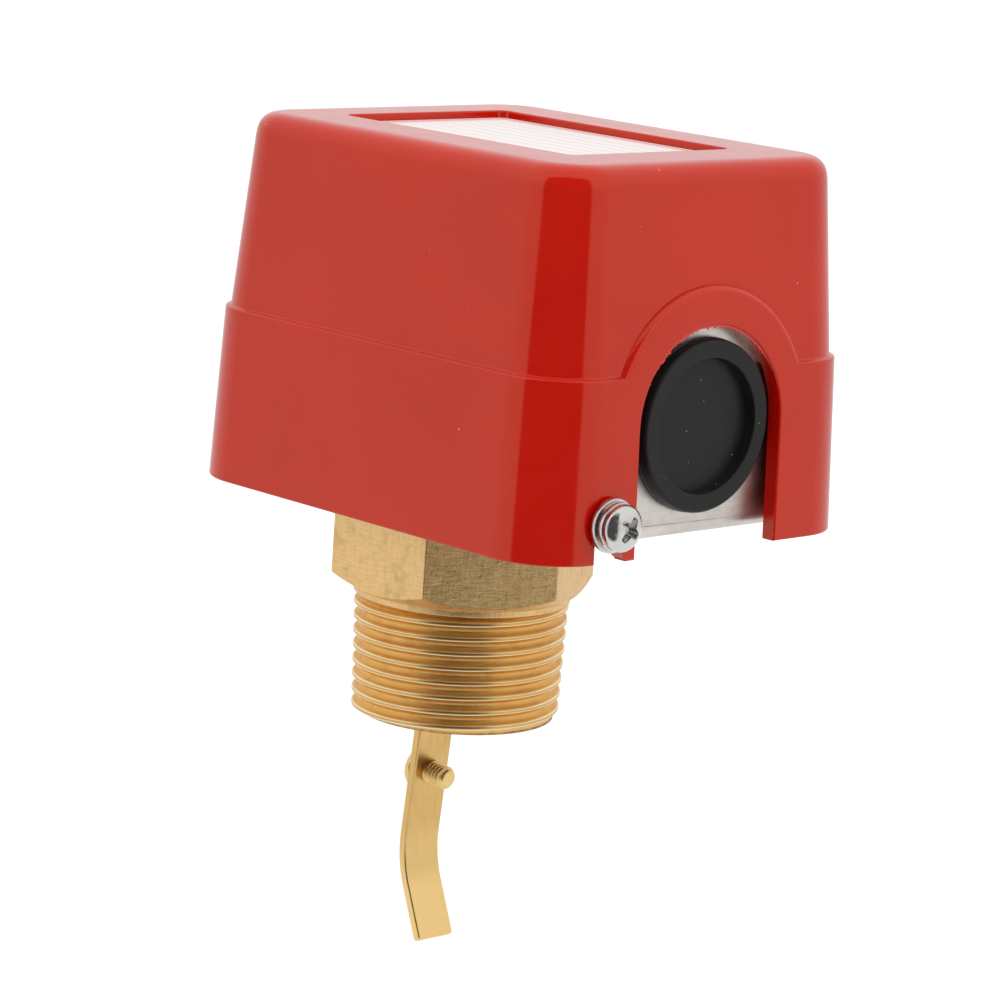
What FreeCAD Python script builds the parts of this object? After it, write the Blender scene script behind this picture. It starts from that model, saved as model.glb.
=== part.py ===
"""Paddle flow switch for a one-inch pipe tapping, modelled in millimetres.

The origin is on the pipe thread's axis, at the hexagon's lower face. +Z points up through the cover,
+X towards the conduit end. The lever group is modelled upright about its pivot and then tilted.
"""
import FreeCAD, Part
import math
import os
import re

import Sketcher

V = FreeCAD.Vector
DOC = FreeCAD.newDocument("PaddleFlowSwitch")

# Driving dimensions: name, value in millimetres or degrees, meaning
DIMENSIONS = [
    ("thread_diameter", 33.25, "one-inch pipe thread over its crests"),
    ("thread_length", 19.0, "hexagon face to the end of the thread"),
    ("thread_end_chamfer", 1.2, "lead-in at the end of the thread"),
    ("hex_flats", 36.0, "hexagon across flats"),
    ("hex_height", 17.2, "hexagon's height"),
    ("hex_chamfer_radius", 15.75, "circle that the lower chamfer leaves on the hexagon's face"),
    ("hex_chamfer_angle", 30.0, "slope of the lower chamfer"),
    ("neck_rise", 0.6, "smooth neck above the thread, up into the chamfer"),
    ("lower_bore_radius", 11.5, "bore that the paddle arm hangs through"),
    ("chamber_radius", 10.2, "bore round the bellows"),
    ("chamber_room", 0.4, "room under the bellows"),
    ("gasket_thickness", 0.8, "flat gasket on the hexagon"),
    ("gasket_radius", 16.5, "gasket's outer radius"),
    ("gasket_bore_radius", 10.5, "hole in the gasket and in the frame above it"),
    ("flange_radius", 12.0, "clamping ring of the bellows"),
    ("flange_bore_radius", 6.2, "hole in that ring"),
    ("flange_thickness", 1.2, "thickness of that ring"),
    ("flange_clearance", 0.2, "ring to its counterbore"),
    ("bellows_crest_radius", 7.6, "outer folds"),
    ("bellows_valley_radius", 5.8, "inner folds"),
    ("bellows_wall", 0.4, "bellows' wall"),
    ("bellows_end_wall", 0.8, "its closed lower end"),
    ("sheet_thickness", 1.5, "steel sheet of the frame and the brackets"),
    ("frame_margin", 0.7, "frame's long edge beyond the switch bracket"),
    ("plain_end_room", 2.6, "switch case to the frame's plain end, inside"),
    ("wiring_room", 17.2, "switch case to the conduit ear, inside"),
    ("fold_relief", 3.4, "how far the sheet beside a fold stays back from it"),
    ("bend_radius", 1.0, "inner radius where sheet is folded"),
    ("ear_shoulder_rise", 11.5, "top of the conduit ear's wide part above the frame's floor"),
    ("ear_half_width", 24.5, "half width of the conduit ear"),
    ("ear_arch_radius", 16.9, "arch of the ear round the conduit hole"),
    ("conduit_rise", 15.37, "axis of the conduit hole above the frame's floor"),
    ("conduit_hole_radius", 11.25, "conduit hole"),
    ("plain_ear_half_width", 12.0, "short ear at the plain end"),
    ("plain_ear_rise", 10.5, "top of that ear above the frame's floor"),
    ("small_screw_radius", 1.5, "M3 shank"),
    ("small_head_radius", 2.75, "M3 head"),
    ("small_head_height", 2.0, "M3 head's height"),
    ("large_screw_radius", 2.0, "M4 shank"),
    ("large_head_radius", 3.45, "M4 head"),
    ("large_head_height", 2.6, "M4 head's height"),
    ("screw_clearance", 0.15, "radial play of a screw in a clearance hole"),
    ("frame_screw_circle", 14.8, "radius of the four frame screws' circle"),
    ("frame_screw_length", 10.7, "shank under the head of a frame screw"),
    ("hole_run_out", 1.0, "tapped hole beyond its screw"),
    ("pivot_rise", 2.3, "pivot pin's axis above the yoke's plate"),
    ("rest_tilt", 5.45, "lever group's tilt at rest"),
    ("yoke_side", 30.0, "square base of the pivot yoke"),
    ("yoke_thickness", 1.2, "sheet of the yoke"),
    ("yoke_window_length", 12.0, "window in the yoke's base, along X"),
    ("yoke_ear_inner", 5.5, "inner face of each yoke ear"),
    ("yoke_ear_radius", 2.8, "rounded top of each ear"),
    ("pin_radius", 1.5, "pivot pin"),
    ("pin_overhang", 1.3, "pin's end beyond the yoke ear"),
    ("running_clearance", 0.05, "radial clearance of moving fits"),
    ("spacer_radius", 2.6, "spacers beside the stem"),
    ("side_play", 0.15, "axial play at the pivot"),
    ("stem_radius", 3.5, "paddle stem"),
    ("stem_flat", 3.0, "half width over the flats at the pivot"),
    ("stem_top", 4.0, "pivot to the shoulder that the lever sits on"),
    ("stem_length", 32.0, "pivot to the stem's lower end"),
    ("stem_slot_length", 10.0, "slot for the arm in the stem's lower end"),
    ("stud_radius", 2.5, "threaded stud over the lever"),
    ("stud_length", 5.6, "stud above its shoulder"),
    ("bellows_setback", 2.4, "bellows' lower end above the slot"),
    ("bellows_neck_depth", 8.2, "pivot to the first fold of the bellows"),
    ("bellows_cone_count", 9.0, "cones from crest to valley and back"),
    ("lever_thickness", 1.5, "rocker lever's plate"),
    ("lever_half_width", 6.0, "half width of the plate"),
    ("lever_long_end", 21.0, "lever's end on the spring side"),
    ("lever_short_end", 20.0, "lever's end on the switch side"),
    ("tab_width", 8.0, "tab that works the switch, along the lever"),
    ("tab_reach", 18.5, "how far the tab reaches across"),
    ("lever_corner_radius", 1.5, "rounded corners of the plate"),
    ("nut_flats", 8.0, "lever nut across flats"),
    ("nut_height", 4.0, "lever nut's height"),
    ("arm_width", 7.2, "brass strip's width"),
    ("arm_thickness", 1.5, "brass strip's thickness"),
    ("arm_bend_depth", 67.5, "pivot to the corner of the strip's bend"),
    ("arm_bend_angle", 28.4, "how far the strip bends"),
    ("arm_bend_radius", 14.0, "bend's radius, at mid-thickness"),
    ("arm_foot_length", 12.0, "bend's corner to the strip's end"),
    ("rivet_radius", 1.2, "rivets through stem and strip"),
    ("rivet_head_height", 0.5, "rivet's end outside the stem"),
    ("rivet_inset", 2.5, "stem's lower end to the lower rivet"),
    ("rivet_spacing", 5.0, "between the rivets"),
    ("paddle_screw_depth", 52.97, "pivot to the paddle screw"),
    ("paddle_stud_reach", 4.12, "screw's free end beyond the strip"),
    ("paddle_tap_radius", 1.75, "strip's tapped hole and the screw in it, at half the threads' depth"),
    ("paddle_head_radius", 3.4, "paddle screw's head"),
    ("paddle_head_height", 2.0, "its height"),
    ("switch_length", 49.2, "switch case's length"),
    ("switch_gap", 1.3, "lever's side to the switch case"),
    ("switch_width", 16.5, "switch case's width"),
    ("switch_height", 22.0, "switch case's height"),
    ("plunger_setback", 5.5, "case's end to the plunger's axis"),
    ("plunger_radius", 2.6, "plunger"),
    ("plunger_gap", 0.3, "lever tab to the plunger's tip, at rest"),
    ("plunger_reach", 2.65, "plunger's tip below the case, at rest"),
    ("plunger_length", 8.2, "plunger's tip to its collar's top"),
    ("collar_radius", 3.6, "collar that keeps the plunger in"),
    ("collar_thickness", 1.2, "that collar"),
    ("case_floor", 2.0, "case wall that the plunger passes"),
    ("plunger_room", 1.4, "room above the collar"),
    ("barrier_height", 3.4, "ribs between the terminals"),
    ("barrier_thickness", 1.4, "ribs between the terminals"),
    ("terminal_first", 6.5, "case's end to the first terminal"),
    ("terminal_spacing", 18.0, "between terminals"),
    ("terminal_side", 7.0, "square terminal plate"),
    ("terminal_thickness", 1.0, "terminal plate"),
    ("mount_screw_spacing", 25.4, "between the switch's screws"),
    ("mount_screw_height", 5.0, "those screws above the case's lower face"),
    ("bracket_setback", 3.5, "switch bracket's end inside the case's"),
    ("bracket_length", 42.0, "switch bracket's length"),
    ("bracket_drop", 1.0, "switch bracket's top below the case's top"),
    ("foot_reach", 9.3, "switch bracket's foot, across"),
    ("bracket_screw_inset", 8.0, "foot's end to its screw"),
    ("spring_x", 15.0, "range spring's axis"),
    ("spring_radius", 3.6, "range spring's mean radius"),
    ("spring_wire_radius", 0.45, "range spring's wire"),
    ("spring_turns", 6.0, "range spring's turns"),
    ("spring_corner_count", 10.0, "straight runs in a turn of the spring"),
    ("spring_closed_gap", 0.15, "gap between the turns at the spring's closed ends"),
    ("seat_radius", 4.4, "spring seat on the lever, and the cap"),
    ("seat_thickness", 0.8, "spring seat's disc"),
    ("spigot_radius", 2.7, "button inside the spring's end"),
    ("spigot_height", 1.6, "that button"),
    ("spring_length", 11.7, "lever's seat to the cap, on the spring's axis"),
    ("cap_thickness", 1.2, "spring cap's disc"),
    ("cap_spigot_height", 2.4, "button under the cap"),
    ("range_half_length", 7.0, "range bracket's half length"),
    ("range_foot_offset", 3.85, "range bracket's foot screws, from the spring's axis along X"),
    ("range_wall_reach", 18.5, "range bracket's wall, outer face, from the middle"),
    ("range_foot_reach", 7.0, "range bracket's foot, across"),
    ("cap_room", 5.8, "spring cap to the range nut, which leaves it its travel"),
    ("shelf_reach", 5.0, "shelf's end beyond the screw's axis"),
    ("range_nut_flats", 7.0, "range nut across flats"),
    ("range_nut_height", 3.2, "range nut's height"),
    ("range_screw_length", 14.5, "range screw under its head"),
    ("range_head_radius", 3.5, "range screw's head"),
    ("range_slot_width", 1.0, "driver slot"),
    ("range_slot_depth", 1.2, "driver slot"),
    ("ground_x", 36.0, "ground screw along the frame"),
    ("ground_reach", 16.0, "ground screw across the frame, from the middle"),
    ("ground_washer_radius", 4.5, "ground washer"),
    ("washer_thickness", 0.8, "flat washers"),
    ("plug_flange_radius", 12.9, "conduit plug's flange"),
    ("plug_flange_thickness", 2.3, "conduit plug's flange"),
    ("plug_rim_chamfer", 0.55, "edges of the plug's face"),
    ("plug_recess_radius", 9.9, "recess in the plug's face"),
    ("plug_recess_depth", 2.8, "that recess"),
    ("plug_recess_slant", 0.5, "how far the recess narrows towards its floor"),
    ("plug_lip_height", 0.85, "lip behind the ear, beyond the hole"),
    ("plug_lip_thickness", 1.4, "that lip"),
    ("cover_side_room", 4.65, "frame's long edge to the cover's inside, at the lower edge"),
    ("cover_conduit_room", 1.63, "conduit ear to the cover's inside, at the lower edge"),
    ("cover_plain_room", 1.44, "plain ear to the cover's inside, at the lower edge"),
    ("cover_overlap", 1.2, "cover's lower edge below the frame"),
    ("skirt_height", 26.26, "lower edge to the step"),
    ("skirt_draft", 2.233, "skirt's draft angle"),
    ("step_inset", 0.69, "step between skirt and upper part"),
    ("headroom", 10.84, "switch's ribs to the inside of the cover's top"),
    ("upper_draft", 4.517, "upper part's draft angle"),
    ("cover_corner_radius", 10.6, "upright corners at the lower edge"),
    ("cover_top_radius", 4.4, "rounding round the top"),
    ("cover_wall", 2.4, "cover's wall"),
    ("ceiling_thickness", 3.2, "cover's top wall"),
    ("arch_radius", 20.24, "raised arch round the conduit opening"),
    ("arch_edge_radius", 0.8, "rounding of the arch's edge"),
    ("conduit_slot_half_width", 14.57, "opening for the conduit"),
    ("screw_slot_half_width", 2.4, "slots for the cover screws"),
    ("cover_screw_reach", 20.35, "conduit-end cover screw, from the middle"),
    ("cover_screw_rise", 2.75, "cover screws above the frame's floor"),
    ("cover_gap", 0.43, "cover's face to the flat washer"),
    ("cover_screw_tail", 3.0, "cover screw's end inside its ear"),
    ("flat_washer_radius", 4.0, "cover screws' flat washers"),
    ("spring_washer_radius", 3.6, "cover screws' spring washers"),
    ("spring_washer_thickness", 1.0, "cover screws' spring washers"),
    ("spring_washer_gap", 0.7, "cut in a spring washer"),
    ("label_setback", 1.14, "label recess's middle behind the cover's"),
    ("label_length", 48.9, "label recess's length"),
    ("label_width", 33.2, "label recess's width"),
    ("label_recess_depth", 1.3, "label recess"),
    ("label_recess_radius", 1.6, "label recess's corners"),
    ("label_margin", 0.5, "label inside its recess"),
    ("label_thickness", 0.2, "label"),
    ("cut_margin", 1.0, "how far a cut's outline runs past what it cuts"),
    ("head_rim_share", 0.45, "height of a screw head's rim over the head's height"),
    ("head_crown_share", 0.68, "radius of a small screw head's crown over the head's radius"),
    ("lead_chamfer", 0.5, "lead at the ends of the stem, the spigots and the range screw"),
]

# Places that follow from the driving dimensions: name, formula
PLACES = [
    ("thread_radius", "thread_diameter / 2"),
    ("hex_corner", "hex_flats / sqrt(3)"),
    ("counterbore_floor", "hex_height - flange_thickness"),
    ("counterbore_radius", "flange_radius + flange_clearance"),
    ("base_bottom", "hex_height + gasket_thickness"),
    ("base_top", "base_bottom + sheet_thickness"),
    ("yoke_top", "base_top + yoke_thickness"),
    ("pivot_height", "yoke_top + pivot_rise"),
    ("stem_slot_top", "stem_length - stem_slot_length"),
    ("bellows_depth", "stem_slot_top - bellows_setback"),
    ("bellows_half_fold", "(bellows_depth - bellows_neck_depth) / bellows_cone_count"),
    ("chamber_floor", "pivot_height - bellows_depth - chamber_room"),
    ("ear_shoulder_height", "base_top + ear_shoulder_rise"),
    ("plain_ear_height", "base_top + plain_ear_rise"),
    ("conduit_height", "base_top + conduit_rise"),
    ("cover_screw_height", "base_top + cover_screw_rise"),
    ("cover_screw_y", "0 - cover_screw_reach"),
    ("ground_y", "0 - ground_reach"),
    ("range_wall_y", "0 - range_wall_reach"),
    ("yoke_ear_outer", "yoke_ear_inner + yoke_thickness"),
    ("frame_screw_across", "frame_screw_circle * sqrt(0.5)"),
    ("frame_screw_tip", "yoke_top - frame_screw_length"),
    ("small_hole_radius", "small_screw_radius + screw_clearance"),
    ("large_hole_radius", "large_screw_radius + screw_clearance"),
    ("lever_top", "stem_top + lever_thickness"),
    ("arm_tangent", "arm_bend_radius * tan(arm_bend_angle * 0.5 deg)"),
    ("arm_arc_top", "arm_bend_depth - arm_tangent"),
    ("arm_arc_x", "arm_bend_radius * (1 - cos(arm_bend_angle * 1 deg))"),
    ("arm_arc_bottom", "arm_arc_top + arm_bend_radius * sin(arm_bend_angle * 1 deg)"),
    ("arm_straight", "arm_foot_length - arm_tangent"),
    ("arm_end_x", "arm_arc_x + arm_straight * sin(arm_bend_angle * 1 deg)"),
    ("arm_end_depth", "arm_arc_bottom + arm_straight * cos(arm_bend_angle * 1 deg)"),
    ("tab_low_x", "0 - lever_short_end"),
    ("plunger_x", "tab_low_x + tab_width / 2"),
    ("tab_top_z",
     "pivot_height + lever_top / cos(rest_tilt * 1 deg) - plunger_x * tan(rest_tilt * 1 deg)"),
    ("plunger_tip", "tab_top_z + plunger_gap"),
    ("switch_low_x", "plunger_x - plunger_setback"),
    ("switch_high_x", "switch_low_x + switch_length"),
    ("switch_low_y", "lever_half_width + switch_gap"),
    ("switch_high_y", "switch_low_y + switch_width"),
    ("switch_middle_y", "switch_low_y + switch_width / 2"),
    ("switch_bottom", "plunger_tip + plunger_reach"),
    ("switch_top", "switch_bottom + switch_height"),
    ("collar_top", "plunger_tip + plunger_length"),
    ("mount_screw_x", "switch_low_x + (switch_length - mount_screw_spacing) / 2"),
    ("mount_screw_z", "switch_bottom + mount_screw_height"),
    ("bracket_low_x", "switch_low_x + bracket_setback"),
    ("bracket_high_x", "bracket_low_x + bracket_length"),
    ("bracket_outer_y", "switch_high_y + sheet_thickness"),
    ("frame_half_width", "bracket_outer_y + frame_margin"),
    ("frame_low_x", "switch_low_x - plain_end_room - sheet_thickness"),
    ("frame_high_x", "switch_high_x + wiring_room + sheet_thickness"),
    ("bracket_foot_y", "bracket_outer_y - foot_reach"),
    ("foot_top", "base_top + sheet_thickness"),
    ("bracket_screw_y", "bracket_foot_y + (foot_reach - sheet_thickness) / 2"),
    ("range_low_x", "spring_x - range_half_length"),
    ("range_high_x", "spring_x + range_half_length"),
    ("range_foot_y", "range_wall_y - range_foot_reach"),
    ("range_screw_y", "range_wall_y - range_foot_reach / 2"),
    ("seat_top", "lever_top + seat_thickness"),
    ("seat_x", "spring_x / cos(rest_tilt * 1 deg) - lever_top * tan(rest_tilt * 1 deg)"),
    ("seat_top_z",
     "pivot_height + seat_top / cos(rest_tilt * 1 deg) - spring_x * tan(rest_tilt * 1 deg)"),
    ("seat_slope", "seat_radius * tan(rest_tilt * 1 deg)"),
    ("spring_bottom", "seat_top_z + seat_slope + spring_wire_radius"),
    ("cap_bottom", "seat_top_z + spring_length"),
    ("spring_height", "cap_bottom - spring_wire_radius - spring_bottom"),
    ("cap_top", "cap_bottom + cap_thickness"),
    ("shelf_height", "cap_top + cap_room + range_nut_height"),
    ("shelf_top", "shelf_height + sheet_thickness"),
    ("range_head_bottom", "cap_top + range_screw_length"),
    ("cover_bottom", "base_bottom - cover_overlap"),
    ("cover_high_x", "frame_high_x + cover_conduit_room + cover_wall"),
    ("cover_low_x", "frame_low_x - cover_plain_room - cover_wall"),
    ("cover_length", "cover_high_x - cover_low_x"),
    ("cover_centre_x", "(cover_high_x + cover_low_x) / 2"),
    ("cover_width", "2 * (frame_half_width + cover_side_room + cover_wall)"),
    ("step_height", "cover_bottom + skirt_height"),
    ("cover_top", "switch_top + barrier_height + headroom + ceiling_thickness"),
    ("upper_height", "cover_top - step_height"),
    ("skirt_lean", "skirt_height * tan(skirt_draft * 1 deg)"),
    ("upper_length", "cover_length - 2 * (skirt_lean + step_inset)"),
    ("upper_width", "cover_width - 2 * (skirt_lean + step_inset)"),
    ("upper_corner_radius", "cover_corner_radius - skirt_lean - step_inset"),
    ("arch_top", "conduit_height + arch_radius"),
    ("screw_face_lean", "(cover_screw_height - cover_bottom) * tan(skirt_draft * 1 deg)"),
    ("near_washer_x", "cover_high_x - screw_face_lean + cover_gap"),
    ("far_washer_x", "cover_low_x + screw_face_lean - cover_gap"),
    ("washer_stack", "washer_thickness + spring_washer_thickness"),
    ("near_head_x", "near_washer_x + washer_stack"),
    ("far_head_x", "far_washer_x - washer_stack"),
    ("label_floor", "cover_top - label_recess_depth"),
    ("label_centre_x", "cover_centre_x - label_setback"),
]


def make_sheet(name):
    """One spreadsheet of the document."""
    sheet = DOC.addObject("Spreadsheet::Sheet", name)
    sheet.Label = name
    return sheet


DIMS = make_sheet("Dims")
SPOTS = make_sheet("Places")
OWNER = {}
for row, (alias, number, meaning) in enumerate(DIMENSIONS, start=1):
    DIMS.set(f"A{row}", meaning)
    DIMS.set(f"B{row}", str(number))
    DIMS.setAlias(f"B{row}", alias)
    OWNER[alias] = "Dims"


def full(formula):
    """The formula with each known name led by the sheet that holds it."""
    def led(found):
        name = found[0]
        return f"{OWNER[name]}.{name}" if name in OWNER else name

    return re.sub(r"[a-z_]\w*", led, str(formula))


for row, (alias, formula) in enumerate(PLACES, start=1):
    SPOTS.set(f"A{row}", alias.replace("_", " "))
    SPOTS.set(f"B{row}", "=" + full(formula))
    SPOTS.setAlias(f"B{row}", alias)
    OWNER[alias] = "Places"
DOC.recompute()


def value(formula):
    """A formula's number."""
    return float(DIMS.evalExpression(full(formula)))


def bind(thing, path, formula):
    """Tie a property or a sketch constraint to the sheets."""
    thing.setExpression(path, full(formula))


# Bodies and sketches

SUB_PARTS = []


def new_body(name, tilted=False):
    """A body that is one sub-part; a tilted one is modelled about the pivot."""
    body = DOC.addObject("PartDesign::Body", name)
    body.Label = name
    SUB_PARTS.append(body)
    if tilted:
        hang_on_pivot(body)
    return body


def hang_on_pivot(thing):
    """Put something modelled about the pivot at the pivot, at the rest tilt."""
    thing.Placement = FreeCAD.Placement(V(0, 0, 0), FreeCAD.Rotation(V(0, 1, 0), value("rest_tilt")))
    bind(thing, "Placement.Base.z", "pivot_height")
    bind(thing, "Placement.Rotation.Angle", "rest_tilt * 1 deg")


def origin_part(body, role):
    return next(part for part in body.Origin.OriginFeatures if part.Role == role)


def new_sketch(body, name, plane, at=(0, 0, 0), turn=0):
    """A sketch on an origin plane, moved by three formulas and turned in its plane.

    XY: u is X, v is Y, w is Z. XZ: u is X, v is Z, w is -Y. YZ: u is Y, v is Z, w is X.
    """
    sketch = body.newObject("Sketcher::SketchObject", name)
    sketch.AttachmentSupport = [(origin_part(body, plane + "_Plane"), "")]
    sketch.MapMode = "FlatFace"
    sketch.AttachmentOffset = FreeCAD.Placement(V(0, 0, 0), FreeCAD.Rotation(V(0, 0, 1), turn))
    for letter, formula in zip("xyz", at):
        bind(sketch, f"AttachmentOffset.Base.{letter}", formula)
    return sketch


def hold(sketch, kind, geometry, end, formula):
    """Hold one end of a piece of geometry at a formula, along u or v."""
    index = sketch.addConstraint(Sketcher.Constraint(kind, -1, 1, geometry, end, value(formula)))
    bind(sketch, f"Constraints[{index}]", formula)


def pin_point(sketch, geometry, end, point):
    """Hold one end of a piece of geometry at a pair of formulas."""
    hold(sketch, "DistanceX", geometry, end, point[0])
    hold(sketch, "DistanceY", geometry, end, point[1])


def hold_radius(sketch, geometry, formula):
    index = sketch.addConstraint(Sketcher.Constraint("Radius", geometry, value(formula)))
    bind(sketch, f"Constraints[{index}]", formula)


def spot(point):
    return V(value(point[0]), value(point[1]), 0)


def polygon(sketch, points):
    """A closed outline of straight lines."""
    first = sketch.GeometryCount
    count = len(points)
    for index, point in enumerate(points):
        following = points[(index + 1) % count]
        sketch.addGeometry(Part.LineSegment(spot(point), spot(following)))
    for index, point in enumerate(points):
        following = first + (index + 1) % count
        sketch.addConstraint(Sketcher.Constraint("Coincident", first + index, 2, following, 1))
        pin_point(sketch, first + index, 1, point)
    return sketch


def circle(sketch, centre, radius):
    ring = sketch.addGeometry(Part.Circle(spot(centre), V(0, 0, 1), value(radius)))
    pin_point(sketch, ring, 3, centre)
    hold_radius(sketch, ring, radius)
    return sketch


def box_points(low_u, low_v, high_u, high_v):
    return [(low_u, low_v), (high_u, low_v), (high_u, high_v), (low_u, high_v)]


def rounded_box(sketch, low_u, low_v, high_u, high_v, radius):
    """A rectangle with four round corners, counter-clockwise from the lower left."""
    sides = [
        ((f"{low_u} + {radius}", low_v), (f"{high_u} - {radius}", low_v)),
        ((high_u, f"{low_v} + {radius}"), (high_u, f"{high_v} - {radius}")),
        ((f"{high_u} - {radius}", high_v), (f"{low_u} + {radius}", high_v)),
        ((low_u, f"{high_v} - {radius}"), (low_u, f"{low_v} + {radius}")),
    ]
    centres = [
        (f"{high_u} - {radius}", f"{low_v} + {radius}"),
        (f"{high_u} - {radius}", f"{high_v} - {radius}"),
        (f"{low_u} + {radius}", f"{high_v} - {radius}"),
        (f"{low_u} + {radius}", f"{low_v} + {radius}"),
    ]
    first = sketch.GeometryCount
    for index, (side, centre) in enumerate(zip(sides, centres)):
        sketch.addGeometry(Part.LineSegment(spot(side[0]), spot(side[1])))
        start = (index - 1) * math.pi / 2
        corner = Part.Circle(spot(centre), V(0, 0, 1), value(radius))
        sketch.addGeometry(Part.ArcOfCircle(corner, start, start + math.pi / 2))
    for index, side in enumerate(sides):
        line, arc, following = first + 2 * index, first + 2 * index + 1, first + (2 * index + 2) % 8
        pin_point(sketch, line, 1, side[0])
        pin_point(sketch, line, 2, side[1])
        sketch.addConstraint(Sketcher.Constraint("Coincident", line, 2, arc, 1))
        sketch.addConstraint(Sketcher.Constraint("Coincident", arc, 2, following, 1))
        hold_radius(sketch, arc, radius)
    return sketch


def arch(sketch, half_width, foot, centre_v):
    """A doorway outline: straight sides up to a half circle about (0, centre_v)."""
    left, right = f"0 - ({half_width})", half_width
    first = sketch.GeometryCount
    corners = [(left, centre_v), (left, foot), (right, foot), (right, centre_v)]
    for start, end in zip(corners, corners[1:]):
        sketch.addGeometry(Part.LineSegment(spot(start), spot(end)))
    top = Part.Circle(spot(("0", centre_v)), V(0, 0, 1), value(half_width))
    sketch.addGeometry(Part.ArcOfCircle(top, 0, math.pi))
    for index, corner in enumerate(corners[:3]):
        pin_point(sketch, first + index, 1, corner)
    pin_point(sketch, first + 2, 2, corners[3])
    for index in range(4):
        sketch.addConstraint(Sketcher.Constraint("Coincident", first + index, 2, first + (index + 1) % 4, 1))
    hold(sketch, "DistanceY", first + 3, 3, centre_v)
    return sketch


def domed(sketch, points, rim, crown):
    """An outline that starts and ends on the u axis, closed by a dome from rim to crown.

    The dome is an arc about a point on the u axis.
    """
    first = sketch.GeometryCount
    chain = points + [rim]
    for start, end in zip(chain, chain[1:]):
        sketch.addGeometry(Part.LineSegment(spot(start), spot(end)))
    rim_u, rim_v, crown_u = value(rim[0]), value(rim[1]), value(crown)
    centre_u = (crown_u ** 2 - rim_u ** 2 - rim_v ** 2) / (2 * (crown_u - rim_u))
    ball = Part.Circle(V(centre_u, 0, 0), V(0, 0, 1), crown_u - centre_u)
    arc = sketch.addGeometry(Part.ArcOfCircle(ball, 0, math.atan2(rim_v, rim_u - centre_u)))
    axis = sketch.addGeometry(Part.LineSegment(V(crown_u, 0, 0), spot(points[0])))
    for index, point in enumerate(points):
        pin_point(sketch, first + index, 1, point)
        if index:
            sketch.addConstraint(Sketcher.Constraint("Coincident", first + index - 1, 2, first + index, 1))
    last = first + len(points) - 1
    pin_point(sketch, last, 2, rim)
    sketch.addConstraint(Sketcher.Constraint("Coincident", last, 2, arc, 2))
    sketch.addConstraint(Sketcher.Constraint("Coincident", arc, 1, axis, 1))
    sketch.addConstraint(Sketcher.Constraint("Coincident", axis, 2, first, 1))
    sketch.addConstraint(Sketcher.Constraint("PointOnObject", arc, 3, -1))
    pin_point(sketch, axis, 1, (crown, "0"))
    return sketch


# Features

def pad(body, sketch, length, draft=None, reverse=False):
    feature = body.newObject("PartDesign::Pad", sketch.Name + "_pad")
    feature.Profile = sketch
    feature.Reversed = reverse
    bind(feature, "Length", length)
    if draft:
        bind(feature, "TaperAngle", f"0 - {draft}")
    return feature


def pocket(body, sketch, length, draft=None, reverse=False):
    """A pocket that must take material away, or the build stops."""
    DOC.recompute()
    before = body.Shape.Volume
    feature = body.newObject("PartDesign::Pocket", sketch.Name + "_pocket")
    feature.Profile = sketch
    feature.Reversed = reverse
    bind(feature, "Length", length)
    if draft:
        bind(feature, "TaperAngle", f"0 - {draft}")
    DOC.recompute()
    if not body.Shape.Volume < before:
        raise RuntimeError(f"{feature.Name} took nothing away")
    return feature


def revolve(body, sketch, axis):
    feature = body.newObject("PartDesign::Revolution", sketch.Name + "_turned")
    feature.Profile = sketch
    feature.ReferenceAxis = (sketch, [axis + "_Axis"])
    feature.Angle = 360
    return feature


def groove(body, sketch, axis):
    """A turned cut that must take material away, or the build stops."""
    DOC.recompute()
    before = body.Shape.Volume
    feature = body.newObject("PartDesign::Groove", sketch.Name + "_cut")
    feature.Profile = sketch
    feature.ReferenceAxis = (sketch, [axis + "_Axis"])
    feature.Angle = 360
    DOC.recompute()
    if not body.Shape.Volume < before:
        raise RuntimeError(f"{feature.Name} took nothing away")
    return feature


def polar(body, features, axis, count):
    pattern = body.newObject("PartDesign::PolarPattern", body.Name + "_round")
    pattern.Originals = features
    pattern.Axis = (origin_part(body, axis + "_Axis"), [""])
    pattern.Angle = 360
    pattern.Occurrences = count
    body.Tip = pattern
    return pattern


def row_of(body, features, axis, spacing, count):
    pattern = body.newObject("PartDesign::LinearPattern", body.Name + "_row")
    pattern.Originals = features
    pattern.Direction = (origin_part(body, axis + "_Axis"), [""])
    pattern.Occurrences = count
    bind(pattern, "Length", f"{spacing} * {count - 1}")
    body.Tip = pattern
    return pattern


def mirror(body, features, plane):
    copy = body.newObject("PartDesign::Mirrored", body.Name + "_mirrored")
    copy.Originals = features
    copy.MirrorPlane = (origin_part(body, plane + "_Plane"), [""])
    body.Tip = copy
    return copy


def round_edges(body, radius, chosen):
    """Fillet the edges of the body so far that the test picks."""
    DOC.recompute()
    base = body.Tip
    names = [f"Edge{index}" for index, edge in enumerate(base.Shape.Edges, start=1) if chosen(edge)]
    feature = body.newObject("PartDesign::Fillet", f"{body.Name}_round_{len(body.Group)}")
    feature.Base = (base, names)
    bind(feature, "Radius", radius)
    return feature


TOUCH = 0.001


def is_line(edge, direction):
    """Whether an edge is straight and runs along a direction."""
    if edge.Curve.TypeId != "Part::GeomLine":
        return False
    return abs(abs(edge.tangentAt(edge.FirstParameter).dot(direction)) - 1) < TOUCH


def screw(body, name, plane, at, turn, length, shank, head_radius, head_height):
    """A screw along u: its head narrows from the sketch's origin to the crown, and the shank runs back."""
    crown = f"{head_radius} * head_crown_share"
    return revolve(body, polygon(new_sketch(body, name, plane, at, turn), [
        (f"0 - {length}", "0"), (f"0 - {length}", shank), ("0", shank), ("0", head_radius),
        (f"{head_height} * head_rim_share", head_radius), (head_height, crown), (head_height, "0")]), "H")


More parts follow.
